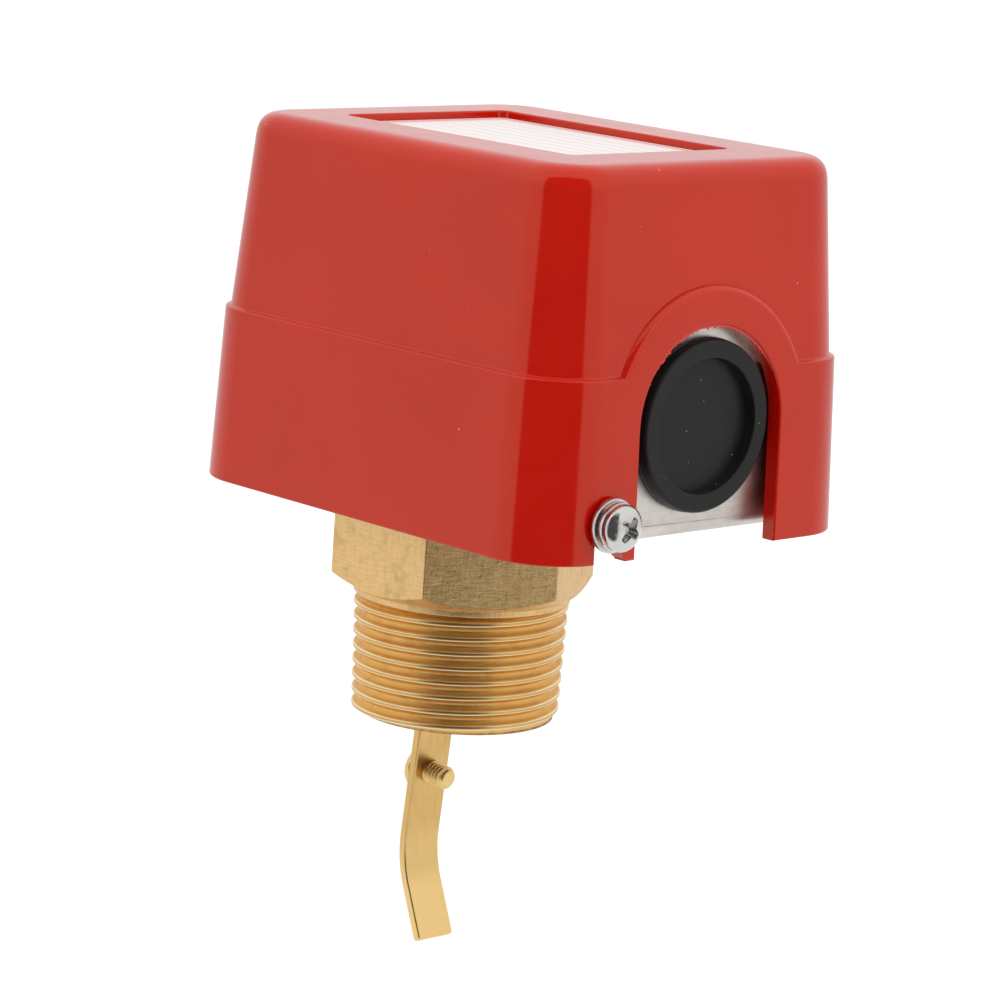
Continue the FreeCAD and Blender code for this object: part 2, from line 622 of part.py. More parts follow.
def domed_screw(body, name, plane, at, turn, length, shank, head_radius, head_height):
    """A screw like the one above, with a dome from its rim to its crown."""
    sketch = new_sketch(body, name, plane, at, turn)
    points = [(f"0 - {length}", "0"), (f"0 - {length}", shank), ("0", shank), ("0", head_radius)]
    domed(sketch, points, (f"{head_height} * head_rim_share", head_radius), head_height)
    return revolve(body, sketch, "H")


def hexagon(sketch, flats):
    """A regular hexagon with two flats across v."""
    corner = f"({flats}) / sqrt(3)"
    turns = [f"({60 * index} deg)" for index in range(6)]
    return polygon(sketch, [(f"{corner} * cos{turn}", f"{corner} * sin{turn}") for turn in turns])


# Pipe body and seal

def pipe_body():
    body = new_body("pipe_body")
    pad(body, hexagon(new_sketch(body, "hexagon", "XY"), "hex_flats"), "hex_height")
    reach = "(hex_corner + cut_margin - hex_chamfer_radius)"
    corner = polygon(new_sketch(body, "hexagon_chamfer", "XZ"), [
        ("hex_chamfer_radius", "0"), ("hex_corner + cut_margin", "0"),
        ("hex_corner + cut_margin", f"{reach} * tan(hex_chamfer_angle * 1 deg)")])
    groove(body, corner, "V")
    thread = polygon(new_sketch(body, "thread_blank", "XZ"), [
        ("0", "neck_rise"), ("thread_radius", "neck_rise"),
        ("thread_radius", "thread_end_chamfer - thread_length"),
        ("thread_radius - thread_end_chamfer", "0 - thread_length"), ("0", "0 - thread_length")])
    revolve(body, thread, "V")
    bores = polygon(new_sketch(body, "stepped_bore", "XZ"), [
        ("0", "0 - thread_length"), ("lower_bore_radius", "0 - thread_length"),
        ("lower_bore_radius", "chamber_floor"), ("chamber_radius", "chamber_floor"),
        ("chamber_radius", "counterbore_floor"), ("counterbore_radius", "counterbore_floor"),
        ("counterbore_radius", "hex_height"), ("0", "hex_height")])
    groove(body, bores, "V")
    taps = frame_screw_circles(body, "frame_taps", "hex_height", "small_screw_radius")
    pocket(body, taps, "hex_height - frame_screw_tip + hole_run_out")


def frame_screw_circles(body, name, height, radius):
    """Circles where the four frame screws pass."""
    sketch = new_sketch(body, name, "XY", ("0", "0", height))
    for across in ("frame_screw_across", "0 - frame_screw_across"):
        for along in ("frame_screw_across", "0 - frame_screw_across"):
            circle(sketch, (along, across), radius)
    return sketch


def gasket():
    body = new_body("gasket")
    disc = new_sketch(body, "gasket_ring", "XY", ("0", "0", "hex_height"))
    circle(disc, ("0", "0"), "gasket_radius")
    circle(disc, ("0", "0"), "gasket_bore_radius")
    pad(body, disc, "gasket_thickness")
    holes = frame_screw_circles(body, "gasket_holes", "base_bottom", "small_hole_radius")
    pocket(body, holes, "gasket_thickness")


def bellows_flange():
    body = new_body("bellows_flange")
    ring = new_sketch(body, "flange_ring", "XY", ("0", "0", "counterbore_floor"))
    circle(ring, ("0", "0"), "flange_radius")
    circle(ring, ("0", "0"), "flange_bore_radius")
    pad(body, ring, "flange_thickness")


def bellows():
    """Corrugated tube on the stem's axis, open at the clamping ring and closed round the stem below."""
    body = new_body("bellows", tilted=True)
    slope = "(bellows_crest_radius - bellows_valley_radius) / bellows_half_fold"
    folds = []
    for index in range(int(value("bellows_cone_count"))):
        radius = "bellows_valley_radius" if index % 2 else "bellows_crest_radius"
        folds.append((radius, f"0 - bellows_neck_depth - {index} * bellows_half_fold"))
    inner = [(f"{radius} - bellows_wall", depth) for radius, depth in reversed(folds)]
    plate = "bellows_end_wall - bellows_depth"
    outline = [("bellows_crest_radius", "0"), *folds, ("bellows_valley_radius", "0 - bellows_depth"),
               ("stem_radius", "0 - bellows_depth"), ("stem_radius", plate),
               (f"bellows_valley_radius - bellows_wall + bellows_end_wall * {slope}", plate),
               *inner, ("bellows_crest_radius - bellows_wall", "0")]
    revolve(body, polygon(new_sketch(body, "bellows_profile", "XZ"), outline), "V")
    reach = "(bellows_crest_radius + cut_margin)"
    level = "(counterbore_floor - pivot_height) / cos(rest_tilt * 1 deg)"
    lean = f"{reach} * tan(rest_tilt * 1 deg)"
    above = polygon(new_sketch(body, "bellows_neck_cut", "XZ", ("0", "0", f"0 - {reach}")), [
        (f"0 - {reach}", f"{level} - {lean}"), (reach, f"{level} + {lean}"),
        (reach, "cut_margin"), (f"0 - {reach}", "cut_margin")])
    pocket(body, above, f"2 * {reach}", reverse=True)


# Frame and brackets

def base_frame():
    """Sheet folded up at both ends: an arched ear for the conduit, a short one for the far cover screw."""
    body = new_body("base_frame")
    floor = new_sketch(body, "frame_floor", "XY", ("0", "0", "base_bottom"))
    low_relief, high_relief = "frame_low_x + fold_relief", "frame_high_x - fold_relief"
    side = [(low_relief, "plain_ear_half_width"), (low_relief, "frame_half_width"),
            (high_relief, "frame_half_width"), (high_relief, "ear_half_width"),
            ("frame_high_x", "ear_half_width")]
    other_side = [(along, f"0 - {across}") for along, across in reversed(side)]
    polygon(floor, [("frame_low_x", "plain_ear_half_width")] + side + other_side
            + [("frame_low_x", "0 - plain_ear_half_width")])
    pad(body, floor, "sheet_thickness")
    conduit_ear = new_sketch(body, "conduit_ear", "YZ", ("0", "0", "frame_high_x - sheet_thickness"))
    polygon(conduit_ear,
            box_points("0 - ear_half_width", "base_bottom", "ear_half_width", "ear_shoulder_height"))
    pad(body, conduit_ear, "sheet_thickness")
    conduit_arch = new_sketch(body, "conduit_arch", "YZ", ("0", "0", "frame_high_x - sheet_thickness"))
    pad(body, arch(conduit_arch, "ear_arch_radius", "base_bottom", "conduit_height"), "sheet_thickness")
    plain_ear = new_sketch(body, "plain_ear", "YZ", ("0", "0", "frame_low_x"))
    polygon(plain_ear, box_points("0 - plain_ear_half_width", "base_bottom", "plain_ear_half_width",
                                  "plain_ear_height"))
    pad(body, plain_ear, "sheet_thickness")
    fold_lines = (value("frame_high_x"), value("frame_low_x"))
    bottom = value("base_bottom")
    round_edges(body, "bend_radius + sheet_thickness / 2",
                lambda edge: is_line(edge, V(0, 1, 0)) and abs(edge.CenterOfMass.z - bottom) < TOUCH
                and min(abs(edge.CenterOfMass.x - line) for line in fold_lines) < TOUCH)
    holes = new_sketch(body, "frame_holes", "XY", ("0", "0", "base_top"))
    circle(holes, ("0", "0"), "gasket_bore_radius")
    circle(holes, ("ground_x", "ground_y"), "large_screw_radius")
    for x_sign in ("bracket_low_x + bracket_screw_inset", "bracket_high_x - bracket_screw_inset"):
        circle(holes, (x_sign, "bracket_screw_y"), "small_screw_radius")
    for x_place in range_screw_places():
        circle(holes, (x_place, "range_screw_y"), "small_screw_radius")
    pocket(body, holes, "sheet_thickness")
    pocket(body, frame_screw_circles(body, "frame_screw_holes", "base_top", "small_hole_radius"),
           "sheet_thickness")
    conduit_hole = new_sketch(body, "conduit_hole", "YZ", ("0", "0", "frame_high_x"))
    circle(conduit_hole, ("0", "conduit_height"), "conduit_hole_radius")
    circle(conduit_hole, ("cover_screw_y", "cover_screw_height"), "large_screw_radius")
    pocket(body, conduit_hole, "sheet_thickness")
    far_tap = new_sketch(body, "far_tap", "YZ", ("0", "0", "frame_low_x + sheet_thickness"))
    circle(far_tap, ("0", "cover_screw_height"), "large_screw_radius")
    pocket(body, far_tap, "sheet_thickness")


def range_screw_places():
    """The range bracket's two foot screws along X."""
    return ("spring_x - range_foot_offset", "spring_x + range_foot_offset")


def frame_screws():
    body = new_body("frame_screws")
    at = ("frame_screw_across", "yoke_top", "0 - frame_screw_across")
    one = screw(body, "frame_screw", "XZ", at, 90, "frame_screw_length", "small_screw_radius",
                "small_head_radius", "small_head_height")
    polar(body, [one], "Z", 4)


def pivot_bracket():
    """Yoke: a square plate with a window, and the two ears that were cut from the window and folded up."""
    body = new_body("pivot_bracket")
    half, window = "yoke_side / 2", "yoke_window_length / 2"
    plate = new_sketch(body, "yoke_plate", "XY", ("0", "0", "base_top"))
    rounded_box(plate, f"0 - {half}", f"0 - {half}", half, half, "lever_corner_radius")
    pad(body, plate, "yoke_thickness")
    opening = new_sketch(body, "yoke_window", "XY", ("0", "0", "yoke_top"))
    polygon(opening, box_points(f"0 - {window}", "0 - yoke_ear_inner", window, "yoke_ear_inner"))
    pocket(body, opening, "yoke_thickness")
    ears = []
    for name, depth in (("near_yoke_ear", "yoke_ear_inner"), ("far_yoke_ear", "0 - yoke_ear_outer")):
        ear = new_sketch(body, name, "XZ", ("0", "0", depth))
        arch(ear, "yoke_ear_radius", "base_top", "pivot_height")
        ears.append(pad(body, ear, "yoke_thickness"))
    pin_holes = new_sketch(body, "pin_holes", "XZ", ("0", "0", "0 - yoke_side / 2"))
    circle(pin_holes, ("0", "pivot_height"), "pin_radius")
    pocket(body, pin_holes, "yoke_side", reverse=True)
    pocket(body, frame_screw_circles(body, "yoke_screw_holes", "yoke_top", "small_hole_radius"),
           "yoke_thickness")


def pivot_pin():
    body = new_body("pivot_pin")
    half = "(yoke_ear_outer + pin_overhang)"
    section = circle(new_sketch(body, "pin_section", "XZ", ("0", "pivot_height", f"0 - {half}")),
                     ("0", "0"), "pin_radius")
    pad(body, section, f"2 * {half}")


def pivot_spacers():
    body = new_body("pivot_spacers")
    ring = new_sketch(body, "spacer_ring", "XZ", ("0", "pivot_height", "stem_flat + side_play"))
    circle(ring, ("0", "0"), "spacer_radius")
    circle(ring, ("0", "0"), "pin_radius")
    one = pad(body, ring, "yoke_ear_inner - stem_flat - side_play")
    mirror(body, [one], "XZ")


def switch_bracket():
    """Angle: an upright wall behind the switch, and a foot screwed to the frame."""
    body = new_body("switch_bracket")
    wall = new_sketch(body, "switch_wall", "XZ", ("0", "0", "0 - bracket_outer_y"))
    polygon(wall, box_points("bracket_low_x", "base_top", "bracket_high_x", "switch_top - bracket_drop"))
    pad(body, wall, "sheet_thickness")
    foot = new_sketch(body, "switch_foot", "XY", ("0", "0", "base_top"))
    polygon(foot, box_points("bracket_low_x", "bracket_foot_y", "bracket_high_x", "bracket_outer_y"))
    pad(body, foot, "sheet_thickness")
    outer, top = value("bracket_outer_y"), value("switch_top - bracket_drop")
    round_edges(body, "lever_corner_radius * 2",
                lambda edge: is_line(edge, V(0, 1, 0)) and abs(edge.CenterOfMass.z - top) < TOUCH)
    bottom = value("base_top")
    round_edges(body, "bend_radius + sheet_thickness / 2",
                lambda edge: is_line(edge, V(1, 0, 0)) and abs(edge.CenterOfMass.z - bottom) < TOUCH
                and abs(edge.CenterOfMass.y - outer) < TOUCH)
    foot_holes = new_sketch(body, "switch_foot_holes", "XY", ("0", "0", "foot_top"))
    for place in ("bracket_low_x + bracket_screw_inset", "bracket_high_x - bracket_screw_inset"):
        circle(foot_holes, (place, "bracket_screw_y"), "small_hole_radius")
    pocket(body, foot_holes, "sheet_thickness")
    taps = new_sketch(body, "switch_taps", "XZ", ("0", "0", "0 - switch_high_y"))
    for place in ("mount_screw_x", "mount_screw_x + mount_screw_spacing"):
        circle(taps, (place, "mount_screw_z"), "small_screw_radius")
    pocket(body, taps, "sheet_thickness", reverse=False)


def range_bracket():
    """Folded bracket: foot on the frame, wall, and a shelf over the lever that holds the range screw."""
    body = new_body("range_bracket")
    wall_inner = "(range_wall_y + sheet_thickness)"
    foot = new_sketch(body, "range_foot", "XY", ("0", "0", "base_top"))
    polygon(foot, box_points("range_low_x", "range_foot_y", "range_high_x", wall_inner))
    pad(body, foot, "sheet_thickness")
    wall = new_sketch(body, "range_wall", "XZ", ("0", "0", f"0 - {wall_inner}"))
    polygon(wall, box_points("range_low_x", "base_top", "range_high_x", "shelf_top"))
    pad(body, wall, "sheet_thickness")
    shelf = new_sketch(body, "range_shelf", "XY", ("0", "0", "shelf_height"))
    polygon(shelf, box_points("range_low_x", "range_wall_y", "range_high_x", "shelf_reach"))
    pad(body, shelf, "sheet_thickness")
    end, outer, top = value("shelf_reach"), value("range_wall_y"), value("shelf_top")
    round_edges(body, "lever_corner_radius * 2",
                lambda edge: is_line(edge, V(0, 0, 1)) and abs(edge.CenterOfMass.y - end) < TOUCH)
    round_edges(body, "bend_radius + sheet_thickness / 2",
                lambda edge: is_line(edge, V(1, 0, 0)) and abs(edge.CenterOfMass.z - top) < TOUCH
                and abs(edge.CenterOfMass.y - outer) < TOUCH)
    shelf_hole = circle(new_sketch(body, "shelf_hole", "XY", ("0", "0", "shelf_top")),
                        ("spring_x", "0"), "large_hole_radius")
    pocket(body, shelf_hole, "sheet_thickness")
    foot_holes = new_sketch(body, "range_foot_holes", "XY", ("0", "0", "foot_top"))
    for place in range_screw_places():
        circle(foot_holes, (place, "range_screw_y"), "small_hole_radius")
    pocket(body, foot_holes, "sheet_thickness")


def bracket_screws():
    """Two screws in each bracket's foot."""
    body = new_body("bracket_screws")
    places = [("bracket_low_x + bracket_screw_inset", "bracket_screw_y"),
              ("bracket_high_x - bracket_screw_inset", "bracket_screw_y")]
    places += [(place, "range_screw_y") for place in range_screw_places()]
    for number, (along, across) in enumerate(places, start=1):
        screw(body, f"bracket_screw_{number}", "XZ", (along, "foot_top", f"0 - ({across})"), 90,
              "2 * sheet_thickness + hole_run_out", "small_screw_radius", "small_head_radius",
              "small_head_height")


# Lever group, upright about the pivot

def lever_stem():
    """Turned rod with flats and a pin hole at the pivot, a stud on top and a slot for the strip below."""
    body = new_body("lever_stem", tilted=True)
    turned = polygon(new_sketch(body, "stem_profile", "XZ"), [
        ("0", "0 - stem_length"), ("stem_radius - lead_chamfer", "0 - stem_length"),
        ("stem_radius", "lead_chamfer - stem_length"),
        ("stem_radius", "stem_top"), ("stud_radius", "stem_top"), ("stud_radius", "stem_top + stud_length"),
        ("0", "stem_top + stud_length")])
    revolve(body, turned, "V")
    flats = new_sketch(body, "stem_flats", "YZ", ("0", "0", "0 - stem_radius"))
    outer = "stem_radius + cut_margin"
    for low, high in (("stem_flat", outer), (f"0 - ({outer})", "0 - stem_flat")):
        polygon(flats, box_points(low, "0 - stem_top", high, "stem_top"))
    pocket(body, flats, "2 * stem_radius", reverse=True)
    pin_hole = circle(new_sketch(body, "stem_pin_hole", "XZ", ("0", "0", "0 - stem_radius")),
                      ("0", "0"), "pin_radius + running_clearance")
    pocket(body, pin_hole, "2 * stem_radius", reverse=True)
    half = "arm_thickness / 2"
    slot = polygon(new_sketch(body, "stem_slot", "XZ", ("0", "0", "0 - stem_radius")),
                   box_points(f"0 - {half}", "0 - stem_length", half, "0 - stem_slot_top"))
    pocket(body, slot, "2 * stem_radius", reverse=True)
    pocket(body, rivet_circles(body, "stem_rivet_holes", "0 - stem_radius"), "2 * stem_radius", reverse=True)


def rivet_circles(body, name, depth):
    sketch = new_sketch(body, name, "YZ", ("0", "0", depth))
    for place in ("rivet_inset - stem_length", "rivet_inset + rivet_spacing - stem_length"):
        circle(sketch, ("0", place), "rivet_radius")
    return sketch


def rocker_lever():
    """Flat plate with a side tab under the switch, a hole for the stud and a hole for the spring seat."""
    body = new_body("rocker_lever", tilted=True)
    tab_end = "tab_low_x + tab_width"
    plate = polygon(new_sketch(body, "lever_outline", "XY", ("0", "0", "stem_top")), [
        ("tab_low_x", "0 - lever_half_width"), ("lever_long_end", "0 - lever_half_width"),
        ("lever_long_end", "lever_half_width"), (tab_end, "lever_half_width"), (tab_end, "tab_reach"),
        ("tab_low_x", "tab_reach")])
    pad(body, plate, "lever_thickness")
    inner = (value(tab_end), value("lever_half_width"))
    round_edges(body, "lever_corner_radius",
                lambda edge: is_line(edge, V(0, 0, 1))
                and math.dist((edge.CenterOfMass.x, edge.CenterOfMass.y), inner) > TOUCH)
    holes = new_sketch(body, "lever_holes", "XY", ("0", "0", "lever_top"))
    circle(holes, ("0", "0"), "stud_radius")
    circle(holes, ("seat_x", "0"), "small_screw_radius")
    pocket(body, holes, "lever_thickness")


def lever_nut():
    body = new_body("lever_nut", tilted=True)
    outline = hexagon(new_sketch(body, "lever_nut_outline", "XY", ("0", "0", "lever_top")), "nut_flats")
    circle(outline, ("0", "0"), "stud_radius")
    pad(body, outline, "nut_height")


def spring_seat():
    """Button riveted into the lever; the spring stands on it."""
    body = new_body("spring_seat", tilted=True)
    button = polygon(new_sketch(body, "seat_profile", "XZ", ("seat_x", "0", "0")), [
        ("0", "stem_top"), ("small_screw_radius", "stem_top"), ("small_screw_radius", "lever_top"),
        ("seat_radius", "lever_top"), ("seat_radius", "seat_top"), ("spigot_radius", "seat_top"),
        ("spigot_radius - lead_chamfer", "seat_top + spigot_height"), ("0", "seat_top + spigot_height")])
    revolve(body, button, "V")


def paddle_arm():
    """Strip swept down the stem and round its bend, with the rivet holes and the paddle screw's hole."""
    body = new_body("paddle_arm", tilted=True)
    path = new_sketch(body, "arm_path", "XZ")
    arc_start = ("0", "0 - arm_arc_top")
    upper = path.addGeometry(Part.LineSegment(spot(("0", "0 - stem_slot_top")), spot(arc_start)))
    ring = Part.Circle(spot(("arm_bend_radius", "0 - arm_arc_top")), V(0, 0, 1), value("arm_bend_radius"))
    turn = math.radians(value("arm_bend_angle"))
    bend = path.addGeometry(Part.ArcOfCircle(ring, math.pi, math.pi + turn))
    foot_end = ("arm_end_x", "0 - arm_end_depth")
    foot = path.addGeometry(Part.LineSegment(spot(("arm_arc_x", "0 - arm_arc_bottom")), spot(foot_end)))
    pin_point(path, upper, 1, ("0", "0 - stem_slot_top"))
    pin_point(path, upper, 2, ("0", "0 - arm_arc_top"))
    pin_point(path, bend, 3, ("arm_bend_radius", "0 - arm_arc_top"))
    hold(path, "DistanceY", foot, 1, "0 - arm_arc_bottom")
    pin_point(path, foot, 2, foot_end)
    path.addConstraint(Sketcher.Constraint("Coincident", upper, 2, bend, 1))
    path.addConstraint(Sketcher.Constraint("Coincident", bend, 2, foot, 1))
    section = new_sketch(body, "arm_section", "XY", ("0", "0", "0 - stem_slot_top"))
    half_thickness, half_width = "arm_thickness / 2", "arm_width / 2"
    polygon(section, box_points(f"0 - {half_thickness}", f"0 - {half_width}", half_thickness, half_width))
    strip = body.newObject("PartDesign::AdditivePipe", "arm_strip")
    strip.Profile = section
    strip.Spine = (path, ["Edge1", "Edge2", "Edge3"])
    holes = rivet_circles(body, "arm_rivet_holes", "0 - arm_thickness")
    pocket(body, holes, "2 * arm_thickness", reverse=True)
    tap = circle(new_sketch(body, "paddle_tap", "YZ", ("0", "0", "0 - arm_thickness")),
                 ("0", "0 - paddle_screw_depth"), "paddle_tap_radius")
    pocket(body, tap, "2 * arm_thickness", reverse=True)


def arm_rivets():
    body = new_body("arm_rivets", tilted=True)
    half = "(stem_radius + rivet_head_height)"
    pad(body, rivet_circles(body, "rivet_sections", f"0 - {half}"), f"2 * {half}")


def paddle_screw():
    body = new_body("paddle_screw", tilted=True)
    at = ("0 - arm_thickness / 2", "0 - paddle_screw_depth", "0")
    sketch = new_sketch(body, "paddle_screw_profile", "XZ", at, 180)
    tip = "0 - arm_thickness - paddle_stud_reach"
    points = [(tip, "0"), (tip, "large_screw_radius"), ("0 - arm_thickness", "large_screw_radius"),
              ("0 - arm_thickness", "paddle_tap_radius"), ("0", "paddle_tap_radius"),
              ("0", "paddle_head_radius")]
    domed(sketch, points, ("paddle_head_height * head_rim_share", "paddle_head_radius"), "paddle_head_height")
    revolve(body, sketch, "H")


# Switch

def switch_case():
    """Moulded block with ribs between the terminals and a stepped well for the plunger."""
    body = new_body("switch_case")
    block = new_sketch(body, "case_block", "XY", ("0", "0", "switch_bottom"))
    polygon(block, box_points("switch_low_x", "switch_low_y", "switch_high_x", "switch_high_y"))
    pad(body, block, "switch_height")
    ribs = new_sketch(body, "case_ribs", "XY", ("0", "0", "switch_top"))
    middle = "switch_low_x + terminal_first + terminal_spacing"
    for place in (f"{middle} - terminal_spacing / 2", f"{middle} + terminal_spacing / 2"):
        polygon(ribs, box_points(f"{place} - barrier_thickness / 2", "switch_low_y",
                                 f"{place} + barrier_thickness / 2", "switch_high_y"))
    pad(body, ribs, "barrier_height")
    ends = (value("switch_low_x"), value("switch_high_x"))
    round_edges(body, "lever_corner_radius",
                lambda edge: is_line(edge, V(0, 1, 0)) and edge.CenterOfMass.z < value("switch_top") + TOUCH
                and min(abs(edge.CenterOfMass.x - end) for end in ends) < TOUCH)
    at = ("plunger_x", "switch_bottom", "0 - switch_middle_y")
    well = polygon(new_sketch(body, "plunger_well", "XZ", at), [
        ("0", "0"), ("plunger_radius + running_clearance", "0"),
        ("plunger_radius + running_clearance", "case_floor"),
        ("collar_radius + screw_clearance", "case_floor"),
        ("collar_radius + screw_clearance", "collar_top + plunger_room - switch_bottom"),
        ("0", "collar_top + plunger_room - switch_bottom")])
    groove(body, well, "V")
    holes = new_sketch(body, "case_holes", "XZ", ("0", "0", "0 - switch_high_y"))
    for place in ("mount_screw_x", "mount_screw_x + mount_screw_spacing"):
        circle(holes, (place, "mount_screw_z"), "small_hole_radius")
    pocket(body, holes, "switch_width", reverse=True)


def switch_plunger():
    body = new_body("switch_plunger")
    at = ("plunger_x", "collar_top", "0 - switch_middle_y")
    sketch = new_sketch(body, "plunger_profile", "XZ", at, 270)
    points = [("0", "0"), ("0", "collar_radius"), ("collar_thickness", "collar_radius"),
              ("collar_thickness", "plunger_radius")]
    revolve(body, domed(sketch, points, ("plunger_length - 1", "plunger_radius"), "plunger_length"), "H")


def terminal_plates():
    body = new_body("terminal_plates")
    half = "terminal_side / 2"
    x, y = "(switch_low_x + terminal_first)", "switch_middle_y"
    plate = new_sketch(body, "terminal_plate", "XY", ("0", "0", "switch_top"))
    polygon(plate, box_points(f"{x} - {half}", f"{y} - {half}", f"{x} + {half}", f"{y} + {half}"))
    row_of(body, [pad(body, plate, "terminal_thickness")], "X", "terminal_spacing", 3)


def terminal_screws():
    """Heads of the terminal screws; their shanks are hidden in the closed case."""
    body = new_body("terminal_screws")
    at = ("switch_low_x + terminal_first", "switch_top + terminal_thickness", "0 - switch_middle_y")
    outline = polygon(new_sketch(body, "terminal_screw", "XZ", at, 90), [
        ("0", "0"), ("0", "small_head_radius"), ("small_head_height * head_rim_share", "small_head_radius"),
        ("small_head_height", "small_head_radius * head_crown_share"), ("small_head_height", "0")])
    row_of(body, [revolve(body, outline, "H")], "X", "terminal_spacing", 3)


def switch_mount_screws():
    body = new_body("switch_mount_screws")
    at = ("switch_low_y", "mount_screw_z", "mount_screw_x")
    one = screw(body, "mount_screw", "YZ", at, 180, "(switch_width + sheet_thickness + hole_run_out)",
                "small_screw_radius", "small_head_radius", "small_head_height")
    row_of(body, [one], "X", "mount_screw_spacing", 2)


# Range adjustment

def range_nut():
    body = new_body("range_nut")
    sketch = new_sketch(body, "range_nut_outline", "XY", ("spring_x", "0", "shelf_height - range_nut_height"))
    circle(hexagon(sketch, "range_nut_flats"), ("0", "0"), "large_screw_radius + running_clearance")
    pad(body, sketch, "range_nut_height")


def range_screw():
    """Slotted screw whose end presses on the spring cap."""
    body = new_body("range_screw")
    turned = polygon(new_sketch(body, "range_screw_profile", "XZ", ("spring_x", "0", "0")), [
        ("0", "cap_top"), ("large_screw_radius - lead_chamfer", "cap_top"),
        ("large_screw_radius", "cap_top + lead_chamfer"),
        ("large_screw_radius", "range_head_bottom"), ("range_head_radius", "range_head_bottom"),
        ("range_head_radius", "range_head_bottom + large_head_height"),
        ("0", "range_head_bottom + large_head_height")])
    revolve(body, turned, "V")
    half = "range_slot_width / 2"
    slot = new_sketch(body, "driver_slot", "XY", ("spring_x", "0", "range_head_bottom + large_head_height"))
    reach = "(range_head_radius + cut_margin)"
    polygon(slot, box_points(f"0 - {reach}", f"0 - {half}", reach, half))
    pocket(body, slot, "range_slot_depth")


def spring_cap():
    body = new_body("spring_cap")
    turned = polygon(new_sketch(body, "cap_profile", "XZ", ("spring_x", "0", "0")), [
        ("0", "cap_bottom - cap_spigot_height"),
        ("spigot_radius - lead_chamfer", "cap_bottom - cap_spigot_height"),
        ("spigot_radius", "cap_bottom"), ("seat_radius", "cap_bottom"), ("seat_radius", "cap_top"),
        ("0", "cap_top")])
    revolve(body, turned, "V")


def range_spring():
    """Compression spring with closed ends between the lever's seat and the cap.

    It runs straight between corners, with a six-sided wire, so that it stays light.
    """
    corners = int(value("spring_corner_count"))
    turns = int(value("spring_turns"))
    closed_rise = 2 * value("spring_wire_radius") + value("spring_closed_gap")
    open_rise = (value("spring_height") - 2 * closed_rise) / (turns - 2)
    path = []
    height = value("spring_bottom")
    for step in range(turns * corners + 1):
        angle = 2 * math.pi * step / corners
        path.append(V(value("spring_x") + value("spring_radius") * math.cos(angle),
                      value("spring_radius") * math.sin(angle), height))
        is_end = step < corners or step >= (turns - 1) * corners
        height += (closed_rise if is_end else open_rise) / corners
    wire = Part.makePolygon(path)
    along = path[1] - path[0]
    section = Part.Wire(Part.makePolygon(six_corners(path[0], along, value("spring_wire_radius"))))
    feature = DOC.addObject("Part::Feature", "range_spring")
    feature.Shape = wire.makePipeShell([section], True, False, 1)
    feature.Label = "range_spring"
    SUB_PARTS.append(feature)


def six_corners(centre, normal, radius):
    """A closed six-sided outline round a centre, square to a direction."""
    turn = FreeCAD.Rotation(V(0, 0, 1), normal)
    spokes = [FreeCAD.Rotation(V(0, 0, 1), 60 * step).multVec(V(radius, 0, 0)) for step in range(7)]
    return [centre + turn.multVec(spoke) for spoke in spokes]


# Ground screw and conduit plug

def ground_screw():
    body = new_body("ground_screw")
    at = ("ground_x", "base_top + washer_thickness", "0 - ground_y")
    screw(body, "ground_screw_profile", "XZ", at, 90, "(washer_thickness + sheet_thickness + hole_run_out)",
          "large_screw_radius", "large_head_radius", "large_head_height")


def ground_washer():
    body = new_body("ground_washer")
    ring = new_sketch(body, "ground_ring", "XY", ("ground_x", "ground_y", "base_top"))
    circle(ring, ("0", "0"), "ground_washer_radius")
    circle(ring, ("0", "0"), "large_hole_radius")
    pad(body, ring, "washer_thickness")


def conduit_plug():
    """Moulded plug: flange outside the ear, lip inside it, and a dished face."""
    body = new_body("conduit_plug")
    inner_face = "0 - sheet_thickness"
    lip_back = "0 - sheet_thickness - plug_lip_thickness"
    recess_floor = "(plug_flange_thickness - plug_recess_depth)"
    turned = polygon(new_sketch(body, "plug_profile", "XZ", ("frame_high_x", "conduit_height", "0")), [
        (lip_back, "0"), (lip_back, "conduit_hole_radius"),
        (inner_face, "conduit_hole_radius + plug_lip_height"),
        (inner_face, "conduit_hole_radius"), ("0", "conduit_hole_radius"), ("0", "plug_flange_radius"),
        ("plug_flange_thickness - plug_rim_chamfer", "plug_flange_radius"),
        ("plug_flange_thickness", "plug_flange_radius - plug_rim_chamfer"),
        ("plug_flange_thickness", "plug_recess_radius + plug_rim_chamfer"),
        ("plug_flange_thickness - plug_rim_chamfer", "plug_recess_radius"),
        (recess_floor, "plug_recess_radius - plug_recess_slant"), (recess_floor, "0")])
    revolve(body, turned, "H")


# Cover and what fastens it

